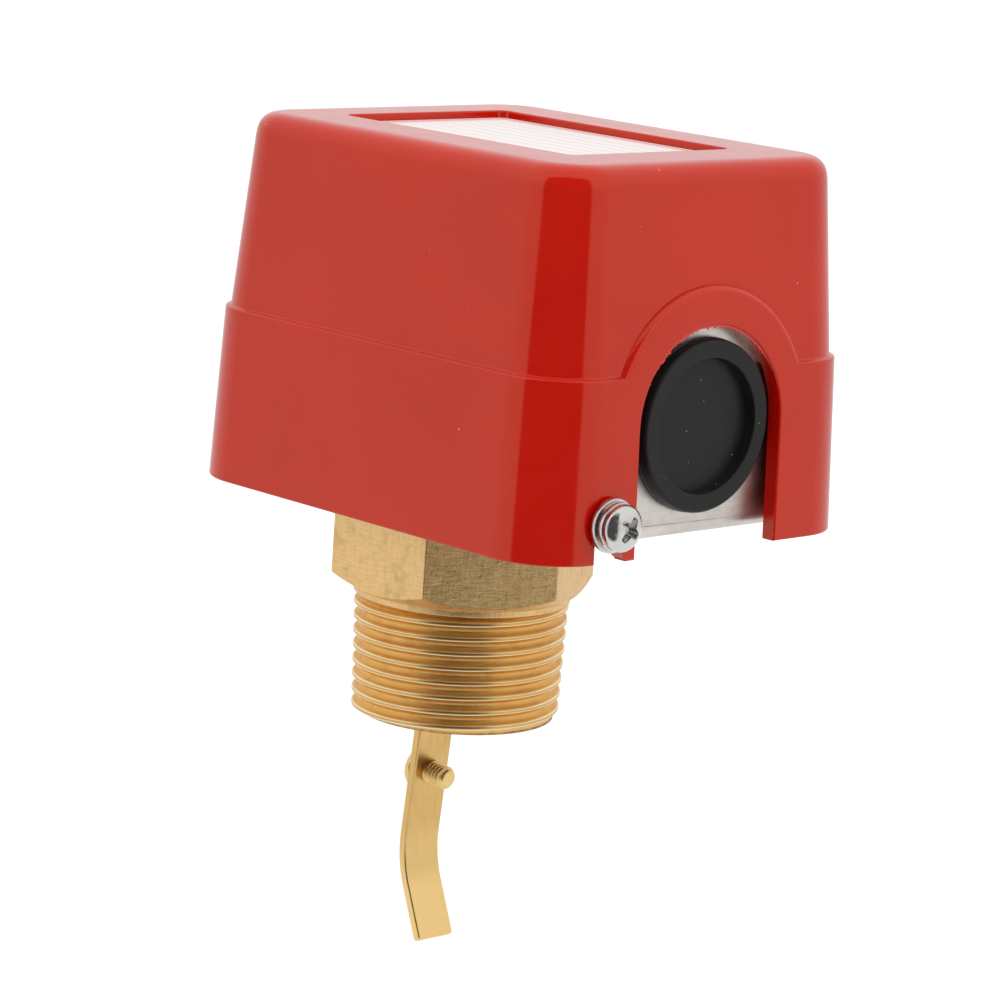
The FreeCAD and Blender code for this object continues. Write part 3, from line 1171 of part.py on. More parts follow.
def cover():
    """Moulded cover: drafted skirt and upper part, an arch round the opening, slots and a label recess."""
    body = new_body("cover")
    half_x, half_y = "cover_length / 2", "cover_width / 2"
    upper_x, upper_y = "upper_length / 2", "upper_width / 2"
    skirt = new_sketch(body, "skirt_outline", "XY", ("cover_centre_x", "0", "cover_bottom"))
    rounded_box(skirt, f"0 - {half_x}", f"0 - {half_y}", half_x, half_y, "cover_corner_radius")
    pad(body, skirt, "skirt_height", draft="skirt_draft")
    upper = new_sketch(body, "upper_outline", "XY", ("cover_centre_x", "0", "step_height"))
    rounded_box(upper, f"0 - {upper_x}", f"0 - {upper_y}", upper_x, upper_y, "upper_corner_radius")
    pad(body, upper, "upper_height", draft="upper_draft")
    top = value("cover_top")
    round_edges(body, "cover_top_radius", lambda edge: edge.BoundBox.ZMin > top - TOUCH)
    arch_block = new_sketch(body, "arch_block", "YZ", ("0", "0", "frame_high_x - 4 * cover_wall"))
    arch(arch_block, "arch_radius", "cover_bottom + cover_corner_radius", "conduit_height")
    pad(body, arch_block, "cover_high_x - frame_high_x + 4 * cover_wall")
    trim_top = "(arch_top + cut_margin)"
    lean = f"({trim_top} - cover_bottom) * tan(skirt_draft * 1 deg)"
    trim = polygon(new_sketch(body, "arch_trim", "XZ", ("0", "0", "0 - cover_width / 2")), [
        ("cover_high_x", "cover_bottom"), ("cover_high_x + cut_margin", "cover_bottom"),
        ("cover_high_x + cut_margin", trim_top), (f"cover_high_x - {lean}", trim_top)])
    pocket(body, trim, "cover_width", reverse=True)
    cover_cavity(body)
    cover_openings(body)


def cover_cavity(body):
    """Hollow of the cover: skirt, upper part and the inside of the arch."""
    half_x, half_y = "(cover_length / 2 - cover_wall)", "(cover_width / 2 - cover_wall)"
    skirt = new_sketch(body, "skirt_cavity", "XY", ("cover_centre_x", "0", "cover_bottom"))
    rounded_box(skirt, f"0 - {half_x}", f"0 - {half_y}", half_x, half_y, "(cover_corner_radius - cover_wall)")
    pocket(body, skirt, "skirt_height", draft="skirt_draft", reverse=True)
    upper_x, upper_y = "(upper_length / 2 - cover_wall)", "(upper_width / 2 - cover_wall)"
    upper = new_sketch(body, "upper_cavity", "XY", ("cover_centre_x", "0", "step_height"))
    rounded_box(upper, f"0 - {upper_x}", f"0 - {upper_y}", upper_x, upper_y,
                "(upper_corner_radius - cover_wall)")
    pocket(body, upper, "upper_height - ceiling_thickness", draft="upper_draft", reverse=True)
    inner_face = "(cover_high_x - skirt_lean - cover_wall)"
    inside = new_sketch(body, "arch_cavity", "YZ", ("0", "0", inner_face))
    circle(inside, ("0", "conduit_height"), "arch_radius - cover_wall")
    pocket(body, inside, "6 * cover_wall")


def cover_openings(body):
    """Conduit opening, the two screw slots and the label recess."""
    outside, below = "cover_high_x + cut_margin", "cover_bottom - cut_margin"
    conduit = arch(new_sketch(body, "conduit_opening", "YZ", ("0", "0", outside)), "conduit_slot_half_width",
                   below, "conduit_height")
    pocket(body, conduit, "5 * cover_wall")
    near_slot = new_sketch(body, "near_screw_slot", "YZ", ("cover_screw_y", "0", outside))
    arch(near_slot, "screw_slot_half_width", below, "cover_screw_height")
    pocket(body, near_slot, "3 * cover_wall")
    far_slot = new_sketch(body, "far_screw_slot", "YZ", ("0", "0", "cover_low_x - cut_margin"))
    arch(far_slot, "screw_slot_half_width", below, "cover_screw_height")
    pocket(body, far_slot, "3 * cover_wall", reverse=True)
    recess = new_sketch(body, "label_recess", "XY", ("label_centre_x", "0", "cover_top"))
    rounded_box(recess, "0 - label_length / 2", "0 - label_width / 2", "label_length / 2", "label_width / 2",
                "label_recess_radius")
    pocket(body, recess, "label_recess_depth")


def label():
    body = new_body("label")
    half_x, half_y = "(label_length / 2 - label_margin)", "(label_width / 2 - label_margin)"
    sticker = new_sketch(body, "sticker", "XY", ("label_centre_x", "0", "label_floor"))
    corner = "(label_recess_radius - label_margin)"
    rounded_box(sticker, f"0 - {half_x}", f"0 - {half_y}", half_x, half_y, corner)
    pad(body, sticker, "label_thickness")


COVER_SCREWS = [
    ("near", "near_head_x", "cover_screw_y", 0, "near_head_x - frame_high_x"),
    ("far", "far_head_x", "0", 180, "frame_low_x - far_head_x"),
]


def cover_screws():
    body = new_body("cover_screws")
    for end, head_x, across, turn, outside in COVER_SCREWS:
        length = f"({outside} + sheet_thickness + cover_screw_tail)"
        domed_screw(body, end + "_cover_screw", "XZ", (head_x, "cover_screw_height", f"0 - ({across})"), turn,
                    length, "large_screw_radius", "large_head_radius", "large_head_height")


def washer_pair(name, thickness, radius, near_x, far_x):
    """One washer on each cover screw, along X between the given place and one thickness further out."""
    body = new_body(name)
    for end, low_x, across in (("near", near_x, "cover_screw_y"), ("far", f"{far_x} - {thickness}", "0")):
        ring = new_sketch(body, f"{end}_{name}", "YZ", (across, "cover_screw_height", low_x))
        circle(ring, ("0", "0"), radius)
        circle(ring, ("0", "0"), "large_hole_radius")
        pad(body, ring, thickness)
    return body


def cover_flat_washers():
    washer_pair("cover_flat_washers", "washer_thickness", "flat_washer_radius",
                "near_washer_x", "far_washer_x")


def cover_spring_washers():
    """Split rings: each has a cut at its top."""
    body = washer_pair("cover_spring_washers", "spring_washer_thickness", "spring_washer_radius",
                       "near_washer_x + washer_thickness", "far_washer_x - washer_thickness")
    half = "spring_washer_gap / 2"
    for end, plane_x, across, reverse in (("near", "near_head_x", "cover_screw_y", False),
                                          ("far", "far_head_x", "0", True)):
        cut = new_sketch(body, f"{end}_washer_cut", "YZ", (across, "cover_screw_height", plane_x))
        outside = "spring_washer_radius + cut_margin"
        polygon(cut, box_points(f"0 - {half}", "large_screw_radius", half, outside))
        pocket(body, cut, "spring_washer_thickness", reverse=reverse)


def build():
    """Make every sub-part, from the pipe upwards."""
    for make in (pipe_body, gasket, bellows_flange, bellows, base_frame, frame_screws, pivot_bracket,
                 pivot_pin, pivot_spacers, switch_bracket, range_bracket, bracket_screws, lever_stem,
                 rocker_lever, lever_nut, spring_seat, paddle_arm, arm_rivets, paddle_screw, switch_case,
                 switch_plunger, terminal_plates, terminal_screws, switch_mount_screws, range_nut,
                 range_screw, spring_cap, range_spring, ground_screw, ground_washer, conduit_plug, cover,
                 label, cover_screws, cover_flat_washers, cover_spring_washers):
        make()
    DOC.recompute()


def check():
    """Stop if any object failed, or any sub-part has no sound shape."""
    for thing in DOC.Objects:
        if "Invalid" in thing.State or "Error" in thing.State:
            raise RuntimeError(f"{thing.Name} failed: {thing.State}")
    for sketch in DOC.findObjects("Sketcher::SketchObject"):
        if not sketch.FullyConstrained:
            raise RuntimeError(f"{sketch.Name} is not fully constrained")
    for part in SUB_PARTS:
        if part.Shape.isNull() or not part.Shape.isValid() or not part.Shape.Solids:
            raise RuntimeError(f"{part.Label} has no sound shape")


def export():
    """Write each sub-part to its own file."""
    os.makedirs("parts", exist_ok=True)
    for part in SUB_PARTS:
        part.Shape.exportStep(f"parts/{part.Label}.step")
        print(part.Label, len(part.Shape.Solids), "solids", round(part.Shape.Volume, 1), "mm3")


build()
check()
export()
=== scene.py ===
"""Paddle flow switch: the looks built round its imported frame."""
import random
from math import cos, pi, radians, sin, sqrt, tan

import bmesh
import bpy
from mathutils import Matrix, Vector


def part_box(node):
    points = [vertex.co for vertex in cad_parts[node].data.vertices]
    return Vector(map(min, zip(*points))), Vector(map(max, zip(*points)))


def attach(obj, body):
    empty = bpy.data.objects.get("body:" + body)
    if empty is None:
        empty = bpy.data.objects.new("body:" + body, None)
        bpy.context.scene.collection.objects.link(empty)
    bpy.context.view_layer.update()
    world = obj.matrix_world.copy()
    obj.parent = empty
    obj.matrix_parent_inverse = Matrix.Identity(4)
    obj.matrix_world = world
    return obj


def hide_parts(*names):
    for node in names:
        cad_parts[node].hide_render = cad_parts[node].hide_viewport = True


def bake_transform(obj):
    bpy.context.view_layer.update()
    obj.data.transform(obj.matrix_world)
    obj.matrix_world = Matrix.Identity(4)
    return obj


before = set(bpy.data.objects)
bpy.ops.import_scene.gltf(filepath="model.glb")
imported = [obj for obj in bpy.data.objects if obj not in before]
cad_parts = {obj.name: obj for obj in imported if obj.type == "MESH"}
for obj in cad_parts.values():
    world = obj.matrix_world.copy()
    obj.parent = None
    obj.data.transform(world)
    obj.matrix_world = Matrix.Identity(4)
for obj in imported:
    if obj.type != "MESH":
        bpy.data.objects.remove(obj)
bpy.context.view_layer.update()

MM = 0.001
TINY = 1e-6
SHARP = 38


def box_mm(node):
    """A CAD node's lowest and highest corner, in millimetres."""
    low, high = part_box(node)
    return low / MM, high / MM


# Sizes in millimetres and degrees, beside those read from the frame
COVER_LOW, COVER_HIGH = box_mm("cover")
LABEL_LOW, LABEL_HIGH = box_mm("label")
PLUG_LOW, PLUG_HIGH = box_mm("conduit_plug")
BODY_LOW, BODY_HIGH = box_mm("pipe_body")
BASE_HIGH = box_mm("base_frame")[1]
HEX_HEIGHT = BODY_HIGH.z
HEX_FLATS = BODY_HIGH.y - BODY_LOW.y
THREAD_END = BODY_LOW.z
THREAD_PITCH = 2.309
THREAD_START = THREAD_END - 0.72
CONDUIT_Z = (PLUG_LOW.z + PLUG_HIGH.z) / 2
HEX_CHAMFER = 30
HEX_FOOT = 15.75
PIVOT = Vector((0, 0, 23))
REST_TILT = 5.45

BELLOWS_NECK = 8.2
BELLOWS_END = 19.6
BELLOWS_CREST = 7.6
BELLOWS_VALLEY = 5.8
BELLOWS_WALL = 0.4
BELLOWS_TOP = 16.0
STEM_RADIUS = 3.5
SPRING_X = 15.0
SPRING_RADIUS = 3.6
SPRING_WIRE = 0.45
ARM_HIGH = box_mm("paddle_arm")[1]
ARM_BEND_DEPTH = 67.5
ARM_BEND = 28.4
ARM_BEND_RADIUS = 17
ARM_FOOT = 13.1
ARM_WIDTH = 7.2
ARM_THICKNESS = 1.5
LOWER_BORE = 11.5
CHAMBER_RADIUS = 10.2
CHAMBER_FLOOR = 3.0
FLANGE_SEAT = 12.2
COVER_WALL = 2.4
CEILING = 3.2
SKIRT_HEIGHT = 26.26
FOOT_DROP = 0.28
SKIRT_DRAFT = tan(radians(2.233))
UPPER_DRAFT = tan(radians(4.517))
STEP_INSET = 0.69
STEP_SLOPE = 0.35
CORNER_RADIUS = 10.6
CORNER_LOSS = 0.6
TOP_RADIUS = 4.4
TOP_REACH = 7.0
ARCH_RADIUS = 20.24
ARCH_EDGE = 1.1
OPENING_HALF_WIDTH = 14.57
OPENING_LIP = 0.4
SCREW_SLOT_HALF_WIDTH = 2.4
LABEL_MARGIN = 0.5
PLUG_SHIFT = (0.25, -0.4)
HEAD_DROP = 0.25
RECESS_CORNER = 1.6

CAMERA_AROUND = 45.841
FLOOR_Z = -78

# Brightness in reflections: horizon, card, and floor at two distances in metres
HORIZON = 0.86
CARD = 0.08
FLOOR_NEAR = (0.3, 1.0)
FLOOR_FAR = (0.8, 0.86)

# The floor's colour, and its glow for the camera at two distances in metres
FLOOR_GREY = 0.62
GLOW_NEAR = (0.1, 0.38)
GLOW_FAR = (0.4, 0.55)


# Outlines and solids, as points and faces

def filleted(outline, closed=False, steps=5):
    """A flat outline of (u, v, radius) corners, rounded; a corner may leave out its radius."""
    rounded = []
    count = len(outline)
    for index, corner in enumerate(outline):
        here = Vector(corner[:2])
        radius = corner[2] if len(corner) > 2 else 0
        inner = closed or 0 < index < count - 1
        if not radius or not inner:
            rounded.append(here)
            continue
        back = Vector(outline[index - 1][:2]) - here
        ahead = Vector(outline[(index + 1) % count][:2]) - here
        turn = pi - back.angle(ahead)
        reach = min(radius * tan(turn / 2), back.length * 0.49, ahead.length * 0.49)
        start, end = here + back.normalized() * reach, here + ahead.normalized() * reach
        for step in range(steps + 1):
            share = step / steps
            rounded.append(start * (1 - share) ** 2 + here * 2 * share * (1 - share) + end * share ** 2)
    return rounded


def lofted(rings):
    """A skin through rings of equally many points, closed at both ends."""
    count = len(rings[0])
    points = [point for ring in rings for point in ring]
    faces = []
    for low in range(0, len(points) - count, count):
        high = low + count
        faces += [(low + k, low + (k + 1) % count, high + (k + 1) % count, high + k) for k in range(count)]
    faces.append(tuple(reversed(range(count))))
    faces.append(tuple(range(len(points) - count, len(points))))
    return points, faces


def turned(outline, steps, closed=False):
    """An outline of (radius, height) pairs turned round Z."""
    angles = [2 * pi * step / steps for step in range(steps)]
    points, rings, faces = [], [], []
    for radius, height in outline:
        first = len(points)
        if radius < TINY:
            points.append(Vector((0, 0, height)))
            rings.append([first] * steps)
        else:
            points += [Vector((radius * cos(a), radius * sin(a), height)) for a in angles]
            rings.append(list(range(first, first + steps)))
    pairs = list(zip(rings, rings[1:]))
    if closed:
        pairs.append((rings[-1], rings[0]))
    for lower, upper in pairs:
        for k in range(steps):
            after = (k + 1) % steps
            corners = tuple(dict.fromkeys((lower[k], lower[after], upper[after], upper[k])))
            if len(corners) > 2:
                faces.append(corners)
    return points, faces


def moved(shape, matrix):
    points, faces = shape
    return [matrix @ point for point in points], faces


def pointing(place, direction):
    """The matrix that puts the origin at a place and turns Z to a direction."""
    turn = Vector(direction).to_track_quat("Z", "Y").to_matrix().to_4x4()
    return Matrix.Translation(Vector(place)) @ turn


def quarter_turn(steps):
    """Angles in even steps from none to a right angle."""
    return [step / steps * pi / 2 for step in range(steps + 1)]


def raised(outline, height):
    """A flat outline as a level ring."""
    return [Vector((point.x, point.y, height)) for point in outline]


def box_ring(low, high, inset, height, radius, steps=14):
    """A level ring: the outline of a box centred across Y, drawn in, with its corners rounded."""
    radius = max(radius, 0.05)
    centre_x = (low.x + high.x) / 2
    reach_x = (high.x - low.x) / 2 - inset - radius
    reach_y = (high.y - low.y) / 2 - inset - radius
    points = []
    for number, (side_x, side_y) in enumerate(((1, 1), (-1, 1), (-1, -1), (1, -1))):
        middle_x, middle_y = centre_x + side_x * reach_x, side_y * reach_y
        for step in range(steps + 1):
            angle = (number + step / steps) * pi / 2
            points.append(Vector((middle_x + radius * cos(angle), middle_y + radius * sin(angle), height)))
    return points


# Blender objects

def bare_object(name, shape):
    """An object made of a shape in millimetres, with no material."""
    points, faces = shape
    mesh = bpy.data.meshes.new(name)
    mesh.from_pydata([point * MM for point in points], [], faces)
    work = bmesh.new()
    work.from_mesh(mesh)
    bmesh.ops.remove_doubles(work, verts=work.verts, dist=TINY * MM)
    bmesh.ops.recalc_face_normals(work, faces=work.faces)
    bmesh.ops.triangulate(work, faces=[face for face in work.faces if len(face.verts) > 4])
    work.to_mesh(mesh)
    work.free()
    obj = bpy.data.objects.new(name, mesh)
    bpy.context.scene.collection.objects.link(obj)
    return obj


def settle(obj):
    """Bakes an object's modifiers into its mesh."""
    depsgraph = bpy.context.evaluated_depsgraph_get()
    mesh = bpy.data.meshes.new_from_object(obj.evaluated_get(depsgraph))
    old = obj.data
    obj.modifiers.clear()
    obj.data = mesh
    bpy.data.meshes.remove(old)


def discard(obj):
    mesh = obj.data
    bpy.data.objects.remove(obj)
    bpy.data.meshes.remove(mesh)


def merge(obj, tool, operation):
    """Adds a tool object to an object's mesh, cuts it away, or keeps what both hold."""
    step = obj.modifiers.new("step", "BOOLEAN")
    step.operation = operation
    step.solver = "MANIFOLD"
    step.object = tool
    settle(obj)
    discard(tool)


def combine(obj, shape, operation):
    merge(obj, bare_object("tool", shape), operation)


def piece(obj, finish, body, nodes=(), sharp=SHARP):
    """Gives an object its finish, smooth faces with sharp edges, and its place in the frame."""
    obj.data.materials.clear()
    obj.data.materials.append(finish)
    obj.data.shade_smooth()
    obj.data.set_sharp_from_angle(angle=radians(sharp))
    even = obj.modifiers.new("even", "WEIGHTED_NORMAL")
    even.keep_sharp = True
    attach(obj, body)
    if nodes:
        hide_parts(*nodes)


# Finishes

class Nodes:
    """A node tree whose nodes are added one by one."""

    def __init__(self, tree):
        self.tree = tree

    def feed(self, socket, source):
        """Links a socket to another, or gives it a number, a colour or a vector."""
        if isinstance(source, bpy.types.NodeSocket):
            self.tree.links.new(source, socket)
        elif socket.type == "RGBA":
            socket.default_value = (*source, 1)
        else:
            socket.default_value = source

    def node(self, kind, inputs=(), **settings):
        made = self.tree.nodes.new(kind)
        for name, setting in settings.items():
            setattr(made, name, setting)
        for name, source in dict(inputs).items():
            self.feed(made.inputs[name], source)
        return made

    def split(self, vector):
        return self.node("ShaderNodeSeparateXYZ", {"Vector": vector}).outputs

    def ramp(self, source, low, high, shape="LINEAR"):
        """A value taken from one range to another: low and high are (from, to) pairs."""
        ends = {"Value": source, "From Min": low[0], "From Max": high[0], "To Min": low[1], "To Max": high[1]}
        return self.node("ShaderNodeMapRange", ends, interpolation_type=shape).outputs["Result"]

    def maths(self, operation, first, second=0.0):
        return self.node("ShaderNodeMath", {0: first, 1: second}, operation=operation).outputs["Value"]

    def times(self, first, second):
        return self.maths("MULTIPLY", first, second)

    def between(self, share, first, second):
        """A number between two."""
        return self.node("ShaderNodeMix", {0: share, 2: first, 3: second}).outputs[0]

    def mix(self, share, first, second):
        """A colour between two."""
        return self.node("ShaderNodeMix", {0: share, 6: first, 7: second}, data_type="RGBA").outputs[2]

    def rays(self, *names):
        """One for the named kinds of ray and none for the rest."""
        path = self.node("ShaderNodeLightPath")
        total = path.outputs[names[0]]
        for name in names[1:]:
            total = self.maths("MAXIMUM", total, path.outputs[name])
        return total


class Finish(Nodes):
    """A surface's shader and the patterns that feed it."""

    def __init__(self, name, colour, roughness, metallic=0.0, **sockets):
        self.material = bpy.data.materials.new(name)
        self.material.use_nodes = True
        super().__init__(self.material.node_tree)
        self.shader = self.tree.nodes["Principled BSDF"]
        for socket, setting in {"Base Color": colour, "Roughness": roughness, "Metallic": metallic,
                                **sockets}.items():
            self.feed(self.shader.inputs[socket.replace("_", " ")], setting)
        self.place = self.node("ShaderNodeTexCoord").outputs["Object"]

    def stretched(self, size, stretch):
        """The object's coordinates in units of a size in millimetres."""
        scale = [share / (size * MM) for share in stretch]
        return self.node("ShaderNodeMapping", {"Vector": self.place, "Scale": scale}).outputs["Vector"]

    def noise(self, size, detail, rough=0.5, stretch=(1, 1, 1)):
        """Cloudy pattern with features of a size in millimetres."""
        inputs = {"Vector": self.stretched(size, stretch), "Scale": 1.0, "Detail": detail, "Roughness": rough}
        return self.node("ShaderNodeTexNoise", inputs).outputs["Fac"]

    def dots(self, spacing, radius):
        """One where a scattered dot is and none elsewhere; sizes in millimetres."""
        inputs = {"Vector": self.stretched(spacing, (1, 1, 1)), "Scale": 1.0, "Randomness": 1.0}
        cell = self.node("ShaderNodeTexVoronoi", inputs).outputs["Distance"]
        return self.ramp(cell, (radius / spacing, 1), (radius / spacing * 1.8, 0))

    def paint(self, socket, source):
        self.tree.links.new(source, self.shader.inputs[socket])

    def relief(self, height, depth):
        """Bump of a depth in millimetres; a second call adds to the first."""
        normal = self.shader.inputs["Normal"]
        inputs = {"Height": height, "Distance": depth * MM, "Strength": 1.0}
        if normal.is_linked:
            inputs["Normal"] = normal.links[0].from_socket
        self.paint("Normal", self.node("ShaderNodeBump", inputs).outputs["Normal"])


def toned(colour, share):
    """A colour made darker or lighter by a share."""
    return tuple(min(1.0, part * share) for part in colour)


def red_plastic():
    """Glossy moulded plastic with faint waves, uneven gloss and a few dust specks."""
    finish = Finish("moulded_red", (0.46, 0.0075, 0.0015), 0.13, Specular_IOR_Level=0.6,
                    Specular_Tint=(1.0, 0.95, 0.6))
    cloud = finish.ramp(finish.noise(22, 2), (0.35, 0.0), (0.65, 1.0))
    dust = finish.dots(6.0, 0.08)
    colour = finish.mix(cloud, (0.455, 0.0032, 0.0008), (0.485, 0.0044, 0.0012))
    finish.paint("Base Color", finish.mix(finish.times(dust, 0.75), colour, (0.86, 0.50, 0.45)))
    finish.paint("Roughness", finish.ramp(finish.noise(5, 4), (0.3, 0.11), (0.7, 0.17)))
    finish.relief(finish.noise(9, 1), 0.012)
    finish.relief(dust, 0.03)
    return finish.material


def brass_casting():
    """Hexagon with sawn and brushed lines, nicks and painted glints, and a darker thread coloured by its own
    turns with painted light: highlight lines on its crests, shade under them and bounced orange light in its
    grooves.
    """
    finish = Finish("brass_hexagon", (0.63, 0.45, 0.2), 0.34, 1.0)
    lines = finish.noise(0.35, 4, 0.65, (0.16, 0.16, 1))
    columns = finish.noise(0.5, 3, 0.6, (1, 1, 0.12))
    grain = finish.noise(0.24, 2, 0.6)
    pits = finish.noise(0.9, 5, 0.7)
    blots = finish.noise(3.2, 4, 0.65)
    glints = finish.dots(1.3, 0.07)
    place = finish.split(finish.place)
    level = finish.ramp(place["Z"], (-0.8 * MM, 0.0), (-0.35 * MM, 1.0))
    woven = finish.maths("ADD", finish.times(lines, 0.65), finish.times(columns, 0.35))
    woven = finish.ramp(woven, (0.36, 0.0), (0.64, 1.0))
    colour = finish.mix(woven, (0.72, 0.47, 0.19), (0.93, 0.64, 0.31))
    colour = finish.mix(finish.ramp(pits, (0.60, 0.0), (0.70, 0.8)), colour, (0.40, 0.25, 0.09))
    colour = finish.mix(finish.ramp(blots, (0.56, 0.0), (0.68, 0.4)), colour, (0.52, 0.33, 0.12))
    # Painted glints: scattered bright dots in the colour, which also stand up as bumps below.
    colour = finish.mix(finish.times(glints, 0.5), colour, (0.98, 0.82, 0.50))
    turn = finish.maths("DIVIDE", finish.maths("ARCTAN2", place["Y"], place["X"]), 2 * pi)
    rise = finish.maths("SUBTRACT", place["Z"], THREAD_START * MM)
    rise = finish.maths("DIVIDE", rise, THREAD_PITCH * MM)
    phase = finish.maths("FRACT", finish.maths("ADD", finish.maths("SUBTRACT", rise, turn), 4.5))
    off = finish.maths("ABSOLUTE", finish.maths("SUBTRACT", phase, 0.5))
    groove = finish.ramp(off, (0.125, 0.0), (0.20, 1.0))
    flat = finish.ramp(off, (0.055, 1.0), (0.09, 0.0))
    # Painted shade: one side of each groove, just under a crest, is coloured darker.
    shade_under_crest = finish.ramp(phase, (0.16, 0.0), (0.30, 1.0))
    # Pale crest colour: painted highlight lines along the crests.
    thread = finish.mix(finish.noise(3, 3), (0.92, 0.72, 0.40), (0.98, 0.80, 0.48))
    # Painted bounced light: the grooves are coloured a deep orange for light bounced between the turns.
    wall = finish.mix(finish.times(shade_under_crest, groove), (0.90, 0.54, 0.165), (0.80, 0.47, 0.14))
    stain = finish.ramp(finish.noise(2.2, 4, 0.6), (0.5, 0.0), (0.72, 0.5))
    wall = finish.mix(stain, wall, (0.62, 0.32, 0.09))
    thread = finish.mix(groove, thread, wall)
    # The crest's middle is painted darker, leaving two painted highlight lines at its edges.
    thread = finish.mix(flat, thread, (0.62, 0.39, 0.15))
    rim = finish.ramp(place["Z"], ((THREAD_END + 0.35) * MM, 1.0), ((THREAD_END + 0.6) * MM, 0.0))
    rim = finish.times(rim, finish.ramp(pits, (0.35, 0.3), (0.6, 0.9)))
    thread = finish.mix(rim, thread, (0.27, 0.16, 0.07))
    finish.paint("Base Color", finish.mix(level, thread, colour))
    rough = finish.ramp(lines, (0.3, 0.36), (0.7, 0.52))
    turned_rough = finish.ramp(groove, (0.0, 0.31), (1.0, 0.5))
    finish.paint("Roughness", finish.between(level, turned_rough, rough))
    for pattern, depth in ((lines, 0.05), (columns, 0.02), (grain, 0.03), (pits, 0.05), (glints, 0.03)):
        finish.relief(finish.times(pattern, level), depth)
    return finish.material


def strip_brass(name="brass_strip", colour=(0.72, 0.47, 0.176), rough=0.3, painted_lit_foot=False):
    """Rolled strip: long fine lines down its length and a few darker touches."""
    finish = Finish(name, colour, rough, 1.0)
    lines = finish.noise(0.4, 4, 0.6, (1, 1, 0.06))
    stain = finish.noise(4, 3)
    dark = toned(colour, 0.82)
    colour_now = finish.mix(lines, toned(colour, 1.1), dark)
    colour_now = finish.mix(finish.ramp(stain, (0.5, 0.0), (0.75, 0.5)), colour_now, dark)
    # Painted reflection: below the bend the strip is coloured paler, standing for the bright floor mirrored
    # in its foot.
    if painted_lit_foot:
        foot = finish.ramp(finish.split(finish.place)["Z"], (-49 * MM, 1.0), (-38 * MM, 0.0))
        colour_now = finish.mix(finish.times(foot, 0.9), colour_now, (0.90, 0.63, 0.26))
    finish.paint("Base Color", colour_now)
    finish.paint("Roughness", finish.ramp(lines, (0.3, rough * 0.8), (0.7, rough * 1.3)))
    finish.relief(lines, 0.015)
    return finish.material


def sheet_steel(name="brushed_steel", colour=(0.68, 0.64, 0.59), rough=0.36):
    """Plated sheet with rolling lines, cloudy patches and smears."""
    finish = Finish(name, colour, rough, 1.0)
    lines = finish.noise(0.5, 4, 0.6, (1, 0.05, 1))
    patches = finish.noise(6, 3)
    smears = finish.ramp(finish.noise(3, 5, 0.7, (1, 0.35, 1)), (0.42, 0.0), (0.68, 0.8))
    plain = finish.mix(finish.times(lines, patches), toned(colour, 1.12), toned(colour, 0.85))
    finish.paint("Base Color", finish.mix(smears, plain, toned(colour, 0.76)))
    finish.paint("Roughness", finish.ramp(patches, (0.3, rough * 0.85), (0.7, rough * 1.25)))
    finish.relief(lines, 0.01)
    return finish.material


def bright_plate(name="bright_nickel", colour=(0.66, 0.65, 0.62), rough=0.15):
    """Bright plated fasteners with light handling marks."""
    finish = Finish(name, colour, rough, 1.0)
    marks = finish.noise(0.6, 4, 0.6)
    finish.paint("Roughness", finish.ramp(marks, (0.35, rough * 0.7), (0.7, rough * 2.2)))
    finish.relief(finish.noise(1.2, 2), 0.006)
    return finish.material


def rubber(name="plug_rubber", colour=(0.0095, 0.0095, 0.009), rough=0.4):
    """Moulded rubber with a fine grain and pale dust."""
    finish = Finish(name, colour, rough, Specular_IOR_Level=0.22)
    dust = finish.dots(2.1, 0.07)
    cloud = finish.noise(5, 3)
    shade = finish.mix(cloud, toned(colour, 0.8), toned(colour, 1.25))
    finish.paint("Base Color", finish.mix(finish.times(dust, 0.5), shade, (0.5, 0.5, 0.48)))
    finish.paint("Roughness", finish.ramp(cloud, (0.3, rough * 0.85), (0.7, rough * 1.15)))
    finish.relief(finish.noise(0.25, 2), 0.006)
    return finish.material


def dark_moulding(name="switch_moulding", colour=(0.03, 0.03, 0.03), rough=0.42):
    """Phenolic or nylon moulding with a fine sandy grain."""
    finish = Finish(name, colour, rough)
    grain = finish.noise(0.3, 3)
    finish.paint("Base Color", finish.mix(grain, toned(colour, 0.85), toned(colour, 1.2)))
    finish.paint("Roughness", finish.ramp(grain, (0.3, rough * 0.85), (0.7, rough * 1.2)))
    finish.relief(grain, 0.012)
    return finish.material


